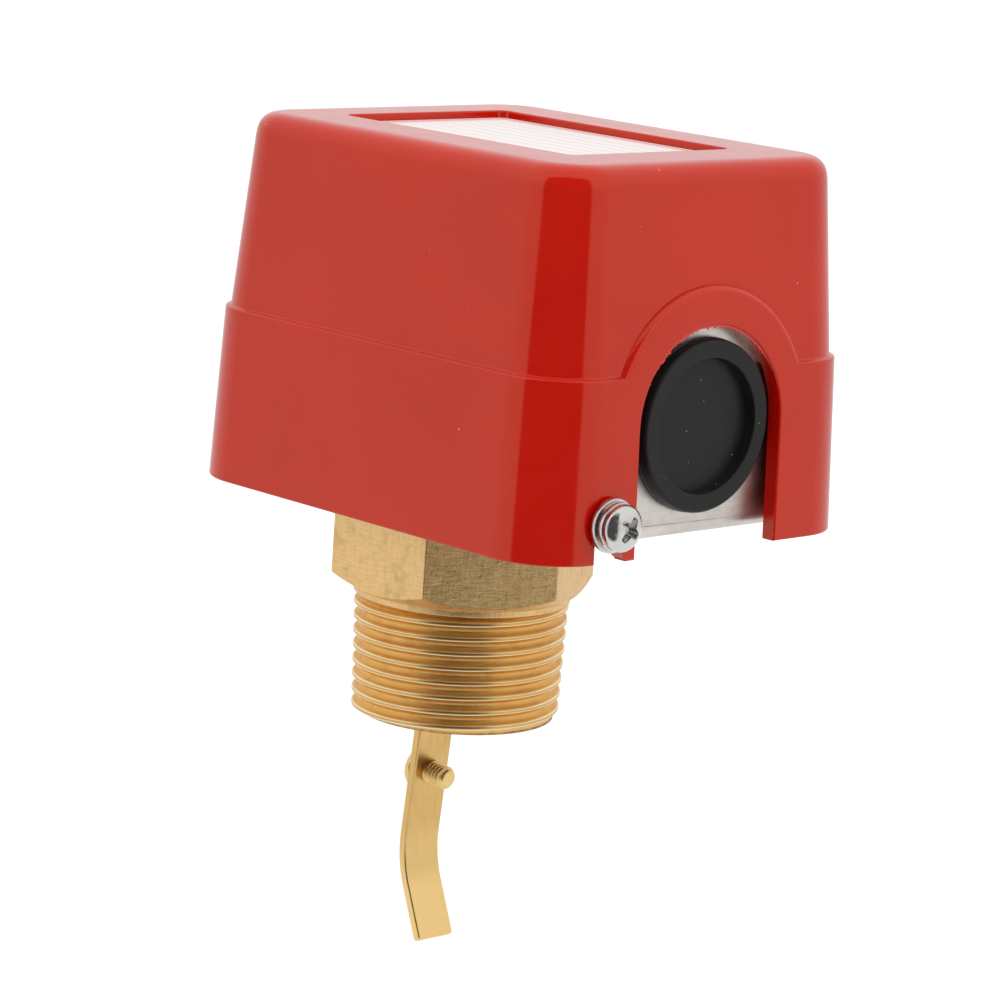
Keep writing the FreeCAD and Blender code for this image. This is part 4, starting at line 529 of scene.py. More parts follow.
def label_film():
    """White film with a double red frame and ruled rows, and no lettering."""
    finish = Finish("printed_film", (0.86, 0.86, 0.85), 0.35)
    place = finish.split(finish.place)
    centre_x = (LABEL_LOW.x + LABEL_HIGH.x) / 2
    along = finish.maths("ABSOLUTE", finish.maths("SUBTRACT", place["X"], centre_x * MM))
    across = finish.maths("ABSOLUTE", place["Y"])
    half_x = (LABEL_HIGH.x - LABEL_LOW.x) / 2
    half_y = (LABEL_HIGH.y - LABEL_LOW.y) / 2
    from_edge = finish.maths("MINIMUM", finish.maths("SUBTRACT", half_x * MM, along),
                             finish.maths("SUBTRACT", half_y * MM, across))
    frames = []
    for inset, width in ((1.2, 0.5), (2.1, 0.2)):
        off = finish.maths("ABSOLUTE", finish.maths("SUBTRACT", from_edge, inset * MM))
        frames.append(finish.ramp(off, (width * MM * 0.45, 1.0), (width * MM * 0.55, 0.0)))
    red = finish.maths("MAXIMUM", *frames)
    inside = finish.times(finish.ramp(along, ((half_x - 6) * MM, 1.0), ((half_x - 5.8) * MM, 0.0)),
                          finish.ramp(across, ((half_y - 5) * MM, 1.0), ((half_y - 4.8) * MM, 0.0)))
    row_gap = 3.2
    wave = finish.maths("SINE", finish.times(place["Y"], pi / (row_gap * MM)))
    wave = finish.maths("ABSOLUTE", wave)
    rows = finish.times(finish.ramp(wave, (0.10, 1.0), (0.16, 0.0)), inside)
    red = finish.maths("MAXIMUM", red, finish.times(rows, 0.75))
    tone = finish.mix(finish.noise(14, 2), (0.72, 0.70, 0.68), (0.77, 0.75, 0.73))
    finish.paint("Base Color", finish.mix(red, tone, (0.72, 0.08, 0.06)))
    finish.relief(finish.noise(6, 2), 0.01)
    return finish.material


# Cover

def cover_inset(height):
    """How far the cover's outside has drawn in at a height."""
    low, step = COVER_LOW.z, COVER_LOW.z + SKIRT_HEIGHT
    if height <= step:
        return (height - low) * SKIRT_DRAFT
    return SKIRT_HEIGHT * SKIRT_DRAFT + STEP_INSET + (height - step) * UPPER_DRAFT


def cover_shell():
    """Wall from the inside of the ceiling down to the lower edge and up outside to the top."""
    low, step, top = COVER_LOW.z, COVER_LOW.z + SKIRT_HEIGHT, COVER_HIGH.z
    ceiling = top - CEILING
    foot_inset, top_inset = SKIRT_HEIGHT * SKIRT_DRAFT, cover_inset(top)
    outline = filleted([
        (cover_inset(ceiling) + COVER_WALL + TOP_REACH, ceiling),
        (cover_inset(ceiling) + COVER_WALL, ceiling, 2.0),
        (foot_inset + STEP_INSET + COVER_WALL, step, 0.5),
        (foot_inset + COVER_WALL, step - STEP_SLOPE, 0.5),
        (COVER_WALL, low - FOOT_DROP, 0.25),
        (0, low - FOOT_DROP, 0.35),
        (foot_inset, step - STEP_SLOPE, 0.35),
        (foot_inset + STEP_INSET, step, 0.3),
        (top_inset, top, TOP_RADIUS),
        (top_inset + TOP_REACH, top)], steps=8)
    rings = []
    for inset, height in outline:
        drawn = min(inset, cover_inset(height))
        corner = CORNER_RADIUS - CORNER_LOSS * drawn - (inset - drawn)
        rings.append(box_ring(COVER_LOW, COVER_HIGH, inset, height, max(corner, 1.0)))
    return bare_object("cover_shell", lofted(rings))


def side_face(side, height):
    """Where the skirt's plane lies along X at a height, on the conduit end or the plain end."""
    inset = (height - COVER_LOW.z) * SKIRT_DRAFT
    return COVER_HIGH.x - inset if side > 0 else COVER_LOW.x + inset


def arch_ring(side, across, radius, middle, low, depth):
    """An arch outline on a plane that lies a depth behind the skirt's plane."""
    steps = 40
    angles = [pi * step / steps for step in range(steps + 1)]
    arch = [(-radius * cos(angle), middle + radius * sin(angle)) for angle in angles]
    outline = [(-radius, low), *arch, (radius, low)]
    return [Vector((side_face(side, height) - side * depth, across + offset, height))
            for offset, height in outline]


def arch_cutter(side, across, radius, middle, lip=0.25):
    """A tool that cuts an arched slot with a rounded lip at the skirt's face."""
    low, depth, proud = COVER_LOW.z - 3, 8, 2.0
    rings = [arch_ring(side, across, radius + lip, middle, low, -proud)]
    for angle in quarter_turn(6):
        widening = lip * (1 - sin(angle))
        rings.append(arch_ring(side, across, radius + widening, middle, low, lip * (1 - cos(angle))))
    rings.append(arch_ring(side, across, radius, middle, low, depth))
    return lofted(rings)


def arch_boss():
    """Raised arch round the conduit opening, level with the skirt, with a soft edge."""
    low, behind, shy = CONDUIT_Z - 1.5, 2.0, 0.004
    rings = [arch_ring(1, 0, ARCH_RADIUS, CONDUIT_Z, low, behind)]
    for angle in quarter_turn(6):
        radius = ARCH_RADIUS - ARCH_EDGE * (1 - cos(angle))
        rings.append(arch_ring(1, 0, radius, CONDUIT_Z, low, ARCH_EDGE * (1 - sin(angle)) + shy))
    return lofted(rings)


def label_recess():
    lip, floor, top = 0.3, LABEL_LOW.z, COVER_HIGH.z
    stations = [(-lip, top + 1)]
    stations += [(-lip * (1 - sin(angle)), top - lip * (1 - cos(angle))) for angle in quarter_turn(5)]
    stations += [(0, floor + 0.2), (0.06, floor + 0.06), (0.2, floor)]
    return lofted([box_ring(LABEL_LOW, LABEL_HIGH, inset - LABEL_MARGIN, height, RECESS_CORNER - inset, 6)
                   for inset, height in stations])


def broken_corner(near):
    """A wedge that breaks the lower corner off the tab between the screw's slot and the opening."""
    edge = near.y + SCREW_SLOT_HALF_WIDTH
    low = COVER_LOW.z - FOOT_DROP
    outline = [(-1, -1), (1.7, -1), (1.5, 0.25), (0.95, 0.55), (0.6, 1.35), (-1, 2.3)]
    return lofted([[Vector((x, edge + across, low + height)) for across, height in outline]
                   for x in (COVER_HIGH.x - 6, COVER_HIGH.x + 2)])


def make_flash(finish):
    """Thin ragged skin that the mould left along the top of the opening's edge."""
    dice = random.Random(7)
    steps, first, span = 150, 28, 138
    rings = []
    for step in range(steps + 1):
        share = step / steps
        angle = radians(first + span * share)
        fade = min(1.0, 6 * share, 6 * (1 - share))
        reach = fade * (0.28 + 0.42 * dice.random() ** 3)
        section = []
        for inward, depth in ((-0.15, 0.35), (reach, 0.45), (reach, 0.55), (-0.15, 0.75)):
            radius = OPENING_HALF_WIDTH - inward
            height = CONDUIT_Z + radius * sin(angle)
            section.append(Vector((side_face(1, height) - depth, radius * cos(angle), height)))
        rings.append(section)
    piece(bare_object("moulding_flash", lofted(rings)), finish, "cover")


def make_cover(finish):
    far, near = [(low + high) / 2 for low, high in solids_of("cover_screws")]
    shell = cover_shell()
    combine(shell, arch_boss(), "UNION")
    for tool in (label_recess(), arch_cutter(1, 0, OPENING_HALF_WIDTH, CONDUIT_Z, OPENING_LIP),
                 arch_cutter(1, near.y, SCREW_SLOT_HALF_WIDTH, near.z),
                 arch_cutter(-1, far.y, SCREW_SLOT_HALF_WIDTH, far.z), broken_corner(near)):
        combine(shell, tool, "DIFFERENCE")
    piece(shell, finish, "cover", ["cover"])


def make_label(finish):
    edge = 0.04
    rings = [box_ring(LABEL_LOW, LABEL_HIGH, inset, height, 1.0, 6)
             for inset, height in ((0, LABEL_LOW.z), (0, LABEL_HIGH.z - edge), (edge, LABEL_HIGH.z))]
    piece(bare_object("printed_label", lofted(rings)), finish, "cover", ["label"])


# Solids of a CAD node that holds several

def solids_of(node):
    """The (lowest, highest) corners of each solid in a CAD node, in millimetres, in a fixed order."""
    work = bmesh.new()
    work.from_mesh(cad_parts[node].data)
    bmesh.ops.remove_doubles(work, verts=work.verts, dist=MM * 0.001)
    work.verts.ensure_lookup_table()
    left = set(range(len(work.verts)))
    boxes = []
    while left:
        group, open_ends = set(), [left.pop()]
        while open_ends:
            index = open_ends.pop()
            group.add(index)
            for edge in work.verts[index].link_edges:
                other = edge.other_vert(work.verts[index]).index
                if other in left:
                    left.discard(other)
                    open_ends.append(other)
        places = [work.verts[index].co / MM for index in group]
        boxes.append(tuple(Vector([end(place[axis] for place in places) for axis in range(3)])
                           for end in (min, max)))
    work.free()
    return sorted(boxes, key=lambda box: [round(part, 2) for part in box[0]])


# Fasteners

def cross_recess(radius, depth, top):
    """A tapered cross with soft corners cut into a head, deepest at its middle."""
    shapes = []
    for turn in (0, pi / 2):
        rings = []
        for share, height in ((1.0, top + 0.5), (1.0, top - depth * 0.3), (0.55, top - depth)):
            reach, part = radius * share, 0.4 + 0.6 * share
            slim, stout = radius * 0.26 * part, radius * 0.46 * part
            outline = [(-reach, -slim, 0.3), (0, -stout, 0.4), (reach, -slim, 0.3),
                       (reach, slim, 0.3), (0, stout, 0.4), (-reach, slim, 0.3)]
            rings.append(raised(filleted(outline, closed=True, steps=3), height))
        shapes.append(moved(lofted(rings), Matrix.Rotation(turn, 4, "Z")))
    return shapes


def threaded(crest, pitch, depth, low, high, steps, form, start=None):
    """A right-hand thread round Z, with its crest radius and groove depth as functions of height.

    form holds (turn share, depth share) pairs. A crest passes over X at the start height.
    """
    first = low if start is None else start
    turns = int((high - first) / pitch) + 3
    rows = [((turn + share) * pitch, sunk) for turn in range(-2, turns) for share, sunk in form]
    points, faces = [], []
    for height, sunk in rows:
        for step in range(steps + 1):
            angle = 2 * pi * step / steps
            here = first + height + pitch * step / steps
            clamped = min(max(here, low), high)
            cut = sunk if clamped == here else sunk_at((clamped - first) / pitch - step / steps, form)
            radius = crest(clamped) - depth(clamped) * cut
            points.append(Vector((radius * cos(angle), radius * sin(angle), clamped)))
    row = steps + 1
    for level in range(len(rows) - 1):
        for step in range(steps):
            here = level * row + step
            corners = (here, here + 1, here + row + 1, here + row)
            if len({round(points[corner].z, 7) for corner in corners}) > 1:
                faces.append(corners)
    return points, faces


def sunk_at(turns, form):
    """A thread form's depth share at a number of turns."""
    share = turns % 1.0
    pairs = list(form) + [(form[0][0] + 1, form[0][1])]
    for (left, sunk_left), (right, sunk_right) in zip(pairs, pairs[1:]):
        if left <= share <= right:
            return sunk_left + (sunk_right - sunk_left) * (share - left) / (right - left)
    return form[0][1]


def closed_thread(shape):
    """An object made of a thread, with its open ends filled."""
    obj = bare_object("thread", shape)
    work = bmesh.new()
    work.from_mesh(obj.data)
    bmesh.ops.remove_doubles(work, verts=work.verts, dist=MM * 0.0005)
    bmesh.ops.dissolve_degenerate(work, edges=work.edges, dist=MM * 0.0005)
    bmesh.ops.holes_fill(work, edges=[edge for edge in work.edges if edge.is_boundary], sides=0)
    bmesh.ops.recalc_face_normals(work, faces=work.faces)
    work.to_mesh(obj.data)
    work.free()
    return obj


def pan_head(radius, height, shank_radius, shank_length):
    """A domed screw with a cross recess, standing along Z with its seat at height 0."""
    wall = height * 0.3
    outline = [(0, -0.02), (radius * 0.96, 0), (radius, height * 0.08)]
    outline += [(radius * cos(angle), wall + (height - wall) * sin(angle)) for angle in quarter_turn(10)]
    obj = bare_object("screw", turned(outline, 64))
    for shape in cross_recess(radius * 0.57, height * 0.62, height):
        combine(obj, shape, "DIFFERENCE")
    shank = turned([(0, 0.1), (shank_radius, 0.1), (shank_radius, 0.4 - shank_length),
                    (shank_radius - 0.35, -shank_length), (0, -shank_length)], 40)
    combine(obj, shank, "UNION")
    return obj


def split_ring(inner, outer, thickness, gap):
    """A spring washer standing on height 0, cut through and a little twisted at its cut."""
    steps, rise, edge = 60, thickness * 0.22, 0.12
    section = filleted([(inner, 0, edge), (outer, 0, edge), (outer, thickness, edge),
                        (inner, thickness, edge)], closed=True, steps=2)
    cut = gap / outer
    rings = []
    for step in range(steps + 1):
        share = step / steps
        angle = cut / 2 + (2 * pi - cut) * share
        lift = rise * (0.5 - share)
        rings.append([Vector((point.x * cos(angle), point.x * sin(angle), point.y + lift))
                      for point in section])
    return lofted(rings)


def flat_ring(inner, outer, thickness):
    """A stamped washer standing on height 0."""
    edge = 0.12
    outline = filleted([(inner, 0, edge), (outer, 0, edge), (outer, thickness, edge * 2),
                        (inner, thickness, edge)], closed=True, steps=2)
    return turned(outline, 64, closed=True)


def absorb(objects, name):
    """Joins objects' meshes into the first one and names it."""
    whole, *others = objects
    work = bmesh.new()
    for obj in objects:
        work.from_mesh(obj.data)
    work.to_mesh(whole.data)
    work.free()
    for obj in others:
        discard(obj)
    whole.name = name
    return whole


def placed(obj, matrix):
    """Moves an object's mesh by a matrix in millimetres."""
    obj.data.transform(Matrix.Scale(MM, 4) @ matrix @ Matrix.Scale(1 / MM, 4))
    return obj


def inner_and_outer(box, side):
    """A box's inner and outer end along X, on the side where it lies."""
    low, high = box
    return (low.x, high.x) if side > 0 else (high.x, low.x)


def make_cover_fasteners(finish):
    """At each end of the cover a pan-head screw, a plain washer and a split washer."""
    names = {"cover_screws": "cover_pan_screws", "cover_flat_washers": "cover_plain_washers",
             "cover_spring_washers": "cover_split_washers"}
    made = {node: [] for node in names}
    for *boxes, side, turn in zip(*map(solids_of, names), (-1, 1), (0.4, 0.95)):
        (tip, crown), (flat_in, flat_out), (_, seat) = [inner_and_outer(box, side) for box in boxes]
        screw_radius, flat_radius, split_radius = [(high.z - low.z) / 2 for low, high in boxes]
        screw = pan_head(screw_radius, abs(crown - seat) - HEAD_DROP, 2.0, abs(seat - tip))
        flat = bare_object("flat", flat_ring(2.15, flat_radius, abs(flat_out - flat_in)))
        split = bare_object("split", split_ring(2.1, split_radius, abs(seat - flat_out), 0.8))
        middle = (boxes[0][0] + boxes[0][1]) / 2
        spin = Matrix.Rotation(turn, 4, "Z")
        for node, obj, x in zip(names, (screw, flat, split), (seat, flat_in, flat_out)):
            made[node].append(placed(obj, pointing((x, middle.y, middle.z), (side, 0, 0)) @ spin))
    for node, name in names.items():
        piece(absorb(made[node], name), finish, "frame", [node])


def make_upright_screws(node, finish):
    """Pan-head screws that stand along Z in place of a node's plain ones."""
    made = []
    for number, (low, high) in enumerate(solids_of(node)):
        radius = (high.x - low.x) / 2
        head = radius * 0.72
        screw = pan_head(radius, head, radius * 0.54, high.z - head - low.z)
        centre = (low + high) / 2
        spin = Matrix.Rotation(0.7 * number, 4, "Z")
        made.append(placed(screw, Matrix.Translation((centre.x, centre.y, high.z - head)) @ spin))
    piece(absorb(made, node + "_dressed"), finish, "frame", [node])


# Pipe body

def hexagon_ring(flats, height):
    circum, corner = flats / sqrt(3), 0.35
    outline = [(circum * cos(pi / 3 * k), circum * sin(pi / 3 * k), corner) for k in range(6)]
    return raised(filleted(outline, closed=True, steps=3), height)


def make_pipe_body(finish):
    edge = 0.25
    hexagon = bare_object("brass_pipe_body", lofted([
        hexagon_ring(HEX_FLATS, -0.2), hexagon_ring(HEX_FLATS, HEX_HEIGHT - edge),
        hexagon_ring(HEX_FLATS - 2 * edge, HEX_HEIGHT)]))
    reach, above = 22.5, HEX_HEIGHT + 1
    slope = tan(radians(HEX_CHAMFER))
    cone = [(0, 0), (HEX_FOOT, 0), (reach, (reach - HEX_FOOT) * slope), (reach, above), (0, above)]
    combine(hexagon, turned(cone, 180), "INTERSECT")
    neck = filleted([(0, 0.7), (16.8, 0.7), (16.8, -0.2, 0.15), (16.3, -0.5, 0.1), (15.7, -1.2), (0, -1.2)])
    combine(hexagon, turned(neck, 180), "UNION")
    rise = ((0.0, 0.0), (0.08, 0.0), (0.11, 0.03), (0.14, 0.12), (0.18, 0.30), (0.23, 0.52), (0.29, 0.72),
            (0.36, 0.87), (0.43, 0.97))
    form = (*rise, (0.5, 1.0), *[(1 - share, sunk) for share, sunk in reversed(rise[1:])])

    def crest(height):
        taper = 16.62 + (height + 1.5) / 32
        lead = 15.6 + (height - THREAD_END) * 0.8
        return min(taper, lead)

    def depth(height):
        return 0.82 * min(1.0, max(0.0, (-0.2 - height) / 0.5))

    thread = threaded(crest, THREAD_PITCH, depth, THREAD_END, 0.0, 160, form, THREAD_START)
    merge(hexagon, closed_thread(thread), "UNION")
    mouth, below = LOWER_BORE + 0.6, THREAD_END - 1
    bore = filleted([(0, below), (mouth, below), (mouth, THREAD_END), (LOWER_BORE, THREAD_END + 0.6),
                     (LOWER_BORE, CHAMBER_FLOOR, 0.3), (CHAMBER_RADIUS, CHAMBER_FLOOR, 0.3),
                     (CHAMBER_RADIUS, BELLOWS_TOP, 0.2), (FLANGE_SEAT, BELLOWS_TOP, 0.3),
                     (FLANGE_SEAT, above), (0, above)], steps=3)
    combine(hexagon, turned(bore, 120), "DIFFERENCE")
    piece(hexagon, finish, "frame", ["pipe_body"], sharp=32)


# Conduit plug

def make_plug(finish):
    face = PLUG_HIGH.x - BASE_HIGH.x
    back = PLUG_LOW.x - BASE_HIGH.x
    rim = (PLUG_HIGH.z - PLUG_LOW.z) / 2
    shank = filleted([(0, back), (10.6, back, 0.3), (12.1, -1.5, 0.3), (11.25, -1.5), (11.25, 0.5),
                      (0, 0.5)], steps=4)
    flange = filleted([(0, 0), (rim - 0.15, 0, 0.2), (rim, 0.7, 0.5), (rim - 0.2, face, 0.6),
                       (10.0, face - 0.08, 0.25), (9.6, face - 2.8, 0.4), (0, face - 2.75)], steps=7)
    made = []
    for outline, across, up in ((flange, *PLUG_SHIFT), (shank, 0, 0)):
        matrix = pointing((BASE_HIGH.x, across, CONDUIT_Z + up), (1, 0, 0))
        made.append(bare_object("disc", moved(turned(outline, 120), matrix)))
    piece(absorb(made, "conduit_blank"), finish, "frame", ["conduit_plug"], sharp=50)


# Arm and paddle screw

def lever_matrix():
    """From the upright lever group, with its pivot at the origin, to its tilted place."""
    return Matrix.Translation(PIVOT) @ Matrix.Rotation(radians(REST_TILT), 4, "Y")


def make_paddle_arm(finish):
    """Bent strip with soft edges, swept down its middle line, with a rounded end."""
    top = (PIVOT.z - ARM_HIGH.z) / cos(radians(REST_TILT))
    turn = radians(ARM_BEND)
    start = ARM_BEND_DEPTH - ARM_BEND_RADIUS * tan(turn / 2)
    path = [(0, -top, 0), (0, -start, 0)]
    for step in range(1, 15):
        angle = turn * step / 14
        path.append((ARM_BEND_RADIUS * (1 - cos(angle)), -start - ARM_BEND_RADIUS * sin(angle), angle))
    x, z, angle = path[-1]
    foot = ARM_FOOT - ARM_BEND_RADIUS * tan(turn / 2)
    drawn_in = [0] * len(path)
    for from_end, less in ((0.5, 0), (0.25, 0.04), (0.1, 0.12), (0.02, 0.28), (0, 0.5)):
        length = foot - from_end
        path.append((x + length * sin(angle), z - length * cos(angle), angle))
        drawn_in.append(less)
    edge = 0.45
    rings = []
    for (x, z, angle), less in zip(path, drawn_in):
        half_x, half_y = ARM_THICKNESS / 2 - less, ARM_WIDTH / 2 - less
        ring = filleted([(-half_x, -half_y, edge), (half_x, -half_y, edge), (half_x, half_y, edge),
                         (-half_x, half_y, edge)], closed=True)
        rings.append([Vector((x + point.x * cos(angle), point.y, z + point.x * sin(angle)))
                      for point in ring])
    obj = placed(bare_object("brass_arm", lofted(rings)), lever_matrix())
    piece(obj, finish, "lever", ["paddle_arm"], sharp=60)


def make_paddle_screw(finish):
    """A cross-recessed screw through the strip, whose threaded stub stands free on the far side."""
    depth, strip, reach, radius = 52.97, 0.75, 4.12, 1.85
    obj = pan_head(3.5, 2.1, 1.6, 2 * strip + 0.3)
    low = -2 * strip - reach
    form = ((0.0, 0.0), (0.1, 0.0), (0.45, 1.0), (0.55, 1.0), (0.9, 0.0))
    stub = threaded(lambda height: min(radius, radius - 0.6 + (height - low)), 0.7, lambda height: 0.34,
                    low, -1.2, 40, form)
    merge(obj, closed_thread(stub), "UNION")
    obj.name = "paddle_screw_threaded"
    placed(obj, lever_matrix() @ pointing((-strip, 0, -depth), (-1, 0, 0)))
    piece(obj, finish, "lever", ["paddle_screw"])


# Parts that bend on the real switch, built here in their rest shape

def make_bellows(finish):
    """Corrugated tube round the stem in one mesh at rest: its closed end tilted with the lever and its neck
    held at the frame.
    """
    folds, points_each = 9, 8
    step = (BELLOWS_END - BELLOWS_NECK) / folds
    middle = (BELLOWS_CREST + BELLOWS_VALLEY) / 2
    swing = (BELLOWS_CREST - BELLOWS_VALLEY) / 2
    outside = [(middle + swing * cos(pi * number / points_each), -BELLOWS_NECK - number / points_each * step)
               for number in range(folds * points_each + 1)]
    plate = 0.8 - BELLOWS_END
    inside = [(radius - BELLOWS_WALL, height) for radius, height in reversed(outside) if height > plate + 0.1]
    outline = [(BELLOWS_CREST, 0), *outside, (STEM_RADIUS, -BELLOWS_END), (STEM_RADIUS, plate),
               (inside[0][0], plate), *inside, (BELLOWS_CREST - BELLOWS_WALL, 0)]
    points, faces = moved(turned(outline, 72, closed=True), lever_matrix())
    axis = lever_matrix().to_3x3() @ Vector((0, 0, 1))
    floor = BELLOWS_TOP
    points = [point - axis * max(0, point.z - floor) / axis.z for point in points]
    obj = bare_object("bellows_tube", (points, faces))
    soft(obj, finish, "bellows")
    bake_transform(obj)


def soft(obj, finish, node):
    """Finish and smooth faces of a piece that bends on the real switch, whose mesh stays as it is; hides the
    node it stands for.
    """
    obj.data.materials.append(finish)
    obj.data.shade_smooth()
    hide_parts(node)


def coil(path, radius):
    """A round wire along a path of points, closed at both ends."""
    sides = 12
    angles = [2 * pi * k / sides for k in range(sides)]
    rings = []
    for index, point in enumerate(path):
        ahead = path[min(index + 1, len(path) - 1)] - path[max(index - 1, 0)]
        along = ahead.normalized()
        outward = Vector((point.x - SPRING_X, point.y, 0)).normalized()
        upward = along.cross(outward).normalized()
        outward = upward.cross(along)
        rings.append([point + radius * (cos(angle) * outward + sin(angle) * upward) for angle in angles])
    return lofted(rings)


def make_range_spring(finish):
    """Round wire in six turns, as two halves, the upper and the lower."""
    low, high = box_mm("range_spring")
    wire, turns, steps = SPRING_WIRE, 6, 40
    bottom, height = low.z + wire, high.z - low.z - 2 * wire
    closed = 2 * wire + 0.15
    opened = (height - 2 * closed) / (turns - 2)
    path = []
    for step in range(turns * steps + 1):
        share = step / steps
        rise = min(share, 1) * closed + min(max(share - 1, 0), turns - 2) * opened
        rise += max(share - turns + 1, 0) * closed
        angle = 2 * pi * share
        x, y = SPRING_X + SPRING_RADIUS * cos(angle), SPRING_RADIUS * sin(angle)
        path.append(Vector((x, y, bottom + rise)))
    half = turns * steps // 2
    lower = bare_object("range_spring_low", coil(path[:half + 1], wire))
    upper = bare_object("range_spring_high", coil(path[half:], wire))
    for obj in (lower, upper):
        soft(obj, finish, "range_spring")
    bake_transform(lower)
    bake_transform(upper)


# CAD nodes that keep their shape

def dress(node, finish, width):
    """Welds a CAD node's faces together, rounds its edges and gives it a finish."""
    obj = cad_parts[node]
    obj.data.materials.clear()
    obj.data.materials.append(finish)
    weld = obj.modifiers.new("weld", "WELD")
    weld.merge_threshold = 0.002 * MM
    bevel = obj.modifiers.new("edges", "BEVEL")
    bevel.width = width * MM
    bevel.segments = 2
    bevel.limit_method = "ANGLE"
    bevel.angle_limit = radians(SHARP)
    even = obj.modifiers.new("even", "WEIGHTED_NORMAL")
    even.keep_sharp = True


# Studio

def make_camera():
    """The photograph's viewpoint, as a place, three angles and a lens."""
    place = Vector((430.734, -411.311, 132.95)) * MM
    around, above, roll = radians(CAMERA_AROUND), radians(11.231), radians(3.871)
    back = Vector((sin(around) * cos(above), -cos(around) * cos(above), sin(above)))
    right = Vector((cos(around), sin(around), 0))
    up = back.cross(right)
    right, up = cos(roll) * right + sin(roll) * up, cos(roll) * up - sin(roll) * right
    camera = bpy.data.cameras.new("camera")
    camera.sensor_width = 36
    camera.lens = 141.985
    camera.clip_start, camera.clip_end = 0.01, 100
    obj = bpy.data.objects.new("camera", camera)
    turn = Matrix((right, up, back)).transposed().to_4x4()
    obj.matrix_world = Matrix.Translation(place) @ turn
    bpy.context.scene.collection.objects.link(obj)
    bpy.context.scene.camera = obj


def make_world(level):
    world = bpy.data.worlds.new("studio")
    bpy.context.scene.world = world
    world.use_nodes = True
    nodes = Nodes(world.node_tree)
    background = nodes.tree.nodes["Background"]
    sky = nodes.split(nodes.node("ShaderNodeTexCoord").outputs["Generated"])
    low, high = 0.05, 0.4
    band = nodes.ramp(sky["Z"], (low, HORIZON), (high, 1.0), "SMOOTHSTEP")
    seen = nodes.rays("Is Camera Ray", "Is Glossy Ray", "Is Transmission Ray")
    strength = nodes.between(nodes.rays("Is Glossy Ray"), nodes.between(seen, level, 1.0), band)
    nodes.feed(background.inputs["Color"], (1, 1, 1))
    nodes.feed(background.inputs["Strength"], strength)


def make_floor(height):
    half = 8000
    corners = [Vector((across * half, along * half, height))
               for across, along in ((-1, -1), (1, -1), (1, 1), (-1, 1))]
    floor = bare_object("floor", (corners, [(0, 1, 2, 3)]))
    finish = Finish("pale_floor", (0, 0, 0), 1.0, Specular_IOR_Level=0.0, Emission_Color=(1, 1, 1))
    away = finish.node("ShaderNodeVectorMath", {0: finish.place}, operation="LENGTH").outputs["Value"]
    shown = finish.ramp(away, GLOW_NEAR, GLOW_FAR, "SMOOTHSTEP")
    reflected = finish.ramp(away, FLOOR_NEAR, FLOOR_FAR, "SMOOTHSTEP")
    mirrored = finish.rays("Is Glossy Ray")
    lift = finish.between(finish.rays("Is Camera Ray"), 0.0, shown)
    finish.paint("Emission Strength", finish.between(mirrored, lift, reflected))
    finish.paint("Base Color", finish.between(mirrored, FLOOR_GREY, 0.0))
    floor.data.materials.append(finish.material)


def make_flag():
    """A black card between the object and the camera that only reflections see."""
    around = radians(CAMERA_AROUND)
    away, half, bottom, top = 142, 107, -75, 185
    centre = Vector((sin(around), -cos(around), 0)) * away
    side = Vector((cos(around), sin(around), 0)) * half
    corners = [centre + side * across + Vector((0, 0, height))
               for across, height in ((-1, bottom), (1, bottom), (1, top), (-1, top))]
    flag = bare_object("flag", (corners, [(0, 1, 2, 3)]))
    finish = Finish("black_card", (0, 0, 0), 0.5, Specular_IOR_Level=0.0, Emission_Color=(1, 1, 1),
                    Emission_Strength=CARD)
    flag.data.materials.append(finish.material)
    flag.visible_camera = flag.visible_diffuse = False
    flag.visible_shadow = flag.visible_transmission = False


def make_lamp(name, place, size, power):
    lamp = bpy.data.lights.new(name, "AREA")
    lamp.shape = "SQUARE"
    lamp.size = size
    lamp.energy = power
    obj = bpy.data.objects.new(name, lamp)
    obj.location = place
    obj.rotation_euler = (Vector((0.01, 0, 0.02)) - Vector(place)).to_track_quat("-Z", "Y").to_euler()
    obj.visible_camera = False
    obj.visible_glossy = False
    bpy.context.scene.collection.objects.link(obj)


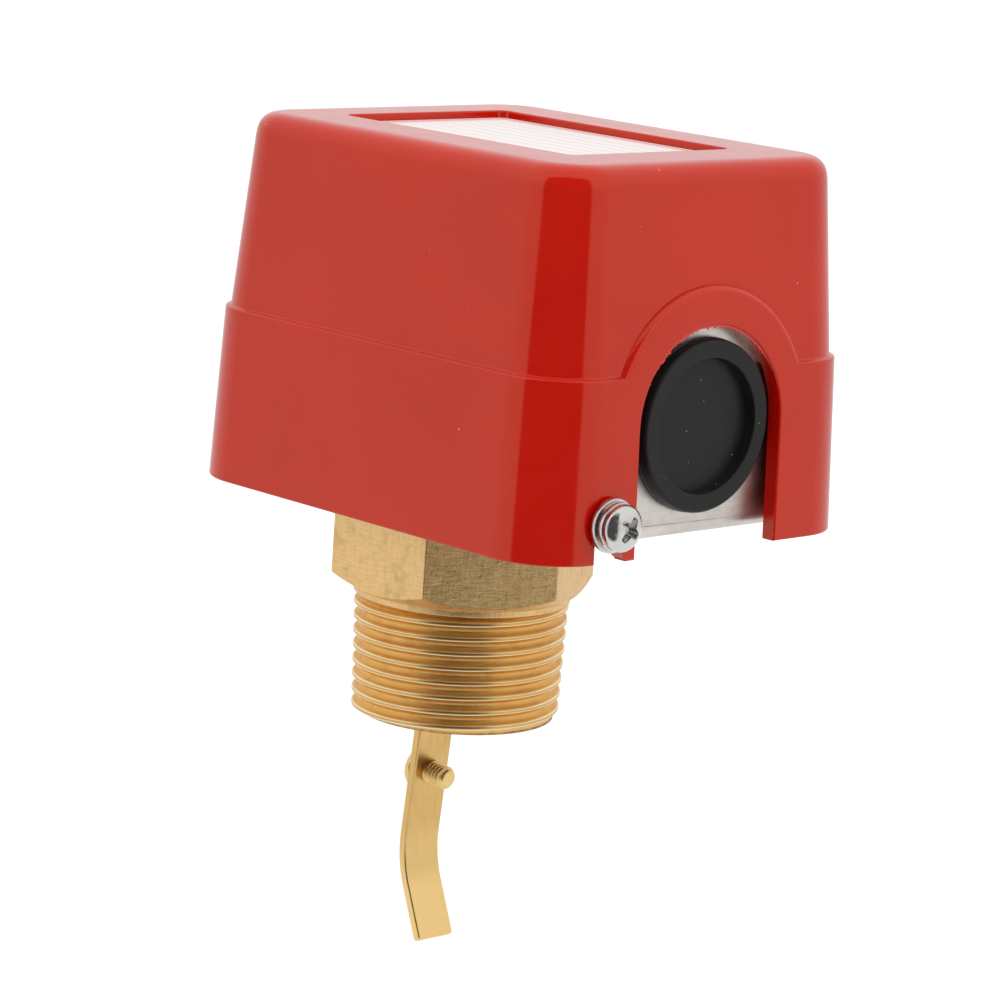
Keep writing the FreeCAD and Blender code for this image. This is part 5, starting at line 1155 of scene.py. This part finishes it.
def make_studio():
    bpy.context.scene.view_settings.view_transform = "Standard"
    make_camera()
    make_world(0.84)
    make_floor(FLOOR_Z)
    make_flag()
    make_lamp("lamp_left", (-0.35, -0.9, 0.7), 0.7, 4.0)
    make_lamp("lamp_right", (0.95, 0.25, 0.6), 0.7, 4.0)
    make_lamp("lamp_top", (0.1, 0.0, 1.1), 0.8, 2.0)


# The whole object

def main():
    red = red_plastic()
    brass = brass_casting()
    strip = strip_brass(painted_lit_foot=True)
    steel = sheet_steel()
    lever_steel = sheet_steel("lever_plate", (0.56, 0.54, 0.48), 0.32)
    nickel = bright_plate()
    bronze = strip_brass("bellows_bronze", (0.62, 0.40, 0.17), 0.26)
    make_cover(red)
    # The flash's paler red is painted light: it stands for light shining through the thin skin.
    make_flash(Finish("thin_red_lit_through", (0.62, 0.02, 0.006), 0.25).material)
    make_label(label_film())
    make_cover_fasteners(nickel)
    make_pipe_body(brass)
    make_plug(rubber())
    make_paddle_screw(strip_brass("brass_screw", (0.88, 0.62, 0.26), 0.36))
    for node in ("frame_screws", "bracket_screws", "ground_screw", "terminal_screws"):
        make_upright_screws(node, nickel)
    make_paddle_arm(strip)
    make_bellows(bronze)
    make_range_spring(bright_plate("spring_wire", (0.5, 0.49, 0.47), 0.2))
    for finish, width, nodes in (
            (strip, 0.2, ("arm_rivets", "lever_stem")),
            (steel, 0.12, ("base_frame", "pivot_bracket", "switch_bracket", "range_bracket")),
            (nickel, 0.1, ("pivot_pin", "pivot_spacers", "lever_nut", "range_nut", "range_screw",
                           "switch_mount_screws")),
            (lever_steel, 0.12, ("rocker_lever", "spring_seat", "spring_cap")),
            (dark_moulding(), 0.2, ("switch_case",)),
            (dark_moulding("plunger_nylon", (0.5, 0.03, 0.02), 0.3), 0.1, ("switch_plunger",)),
            (strip_brass("terminal_brass", (0.68, 0.55, 0.28), 0.25), 0.1,
             ("terminal_plates", "ground_washer")),
            (bronze, 0.1, ("bellows_flange",)),
            (rubber("gasket_rubber", (0.035, 0.034, 0.033), 0.7), 0.08, ("gasket",))):
        for node in nodes:
            dress(node, finish, width)


make_studio()
main()
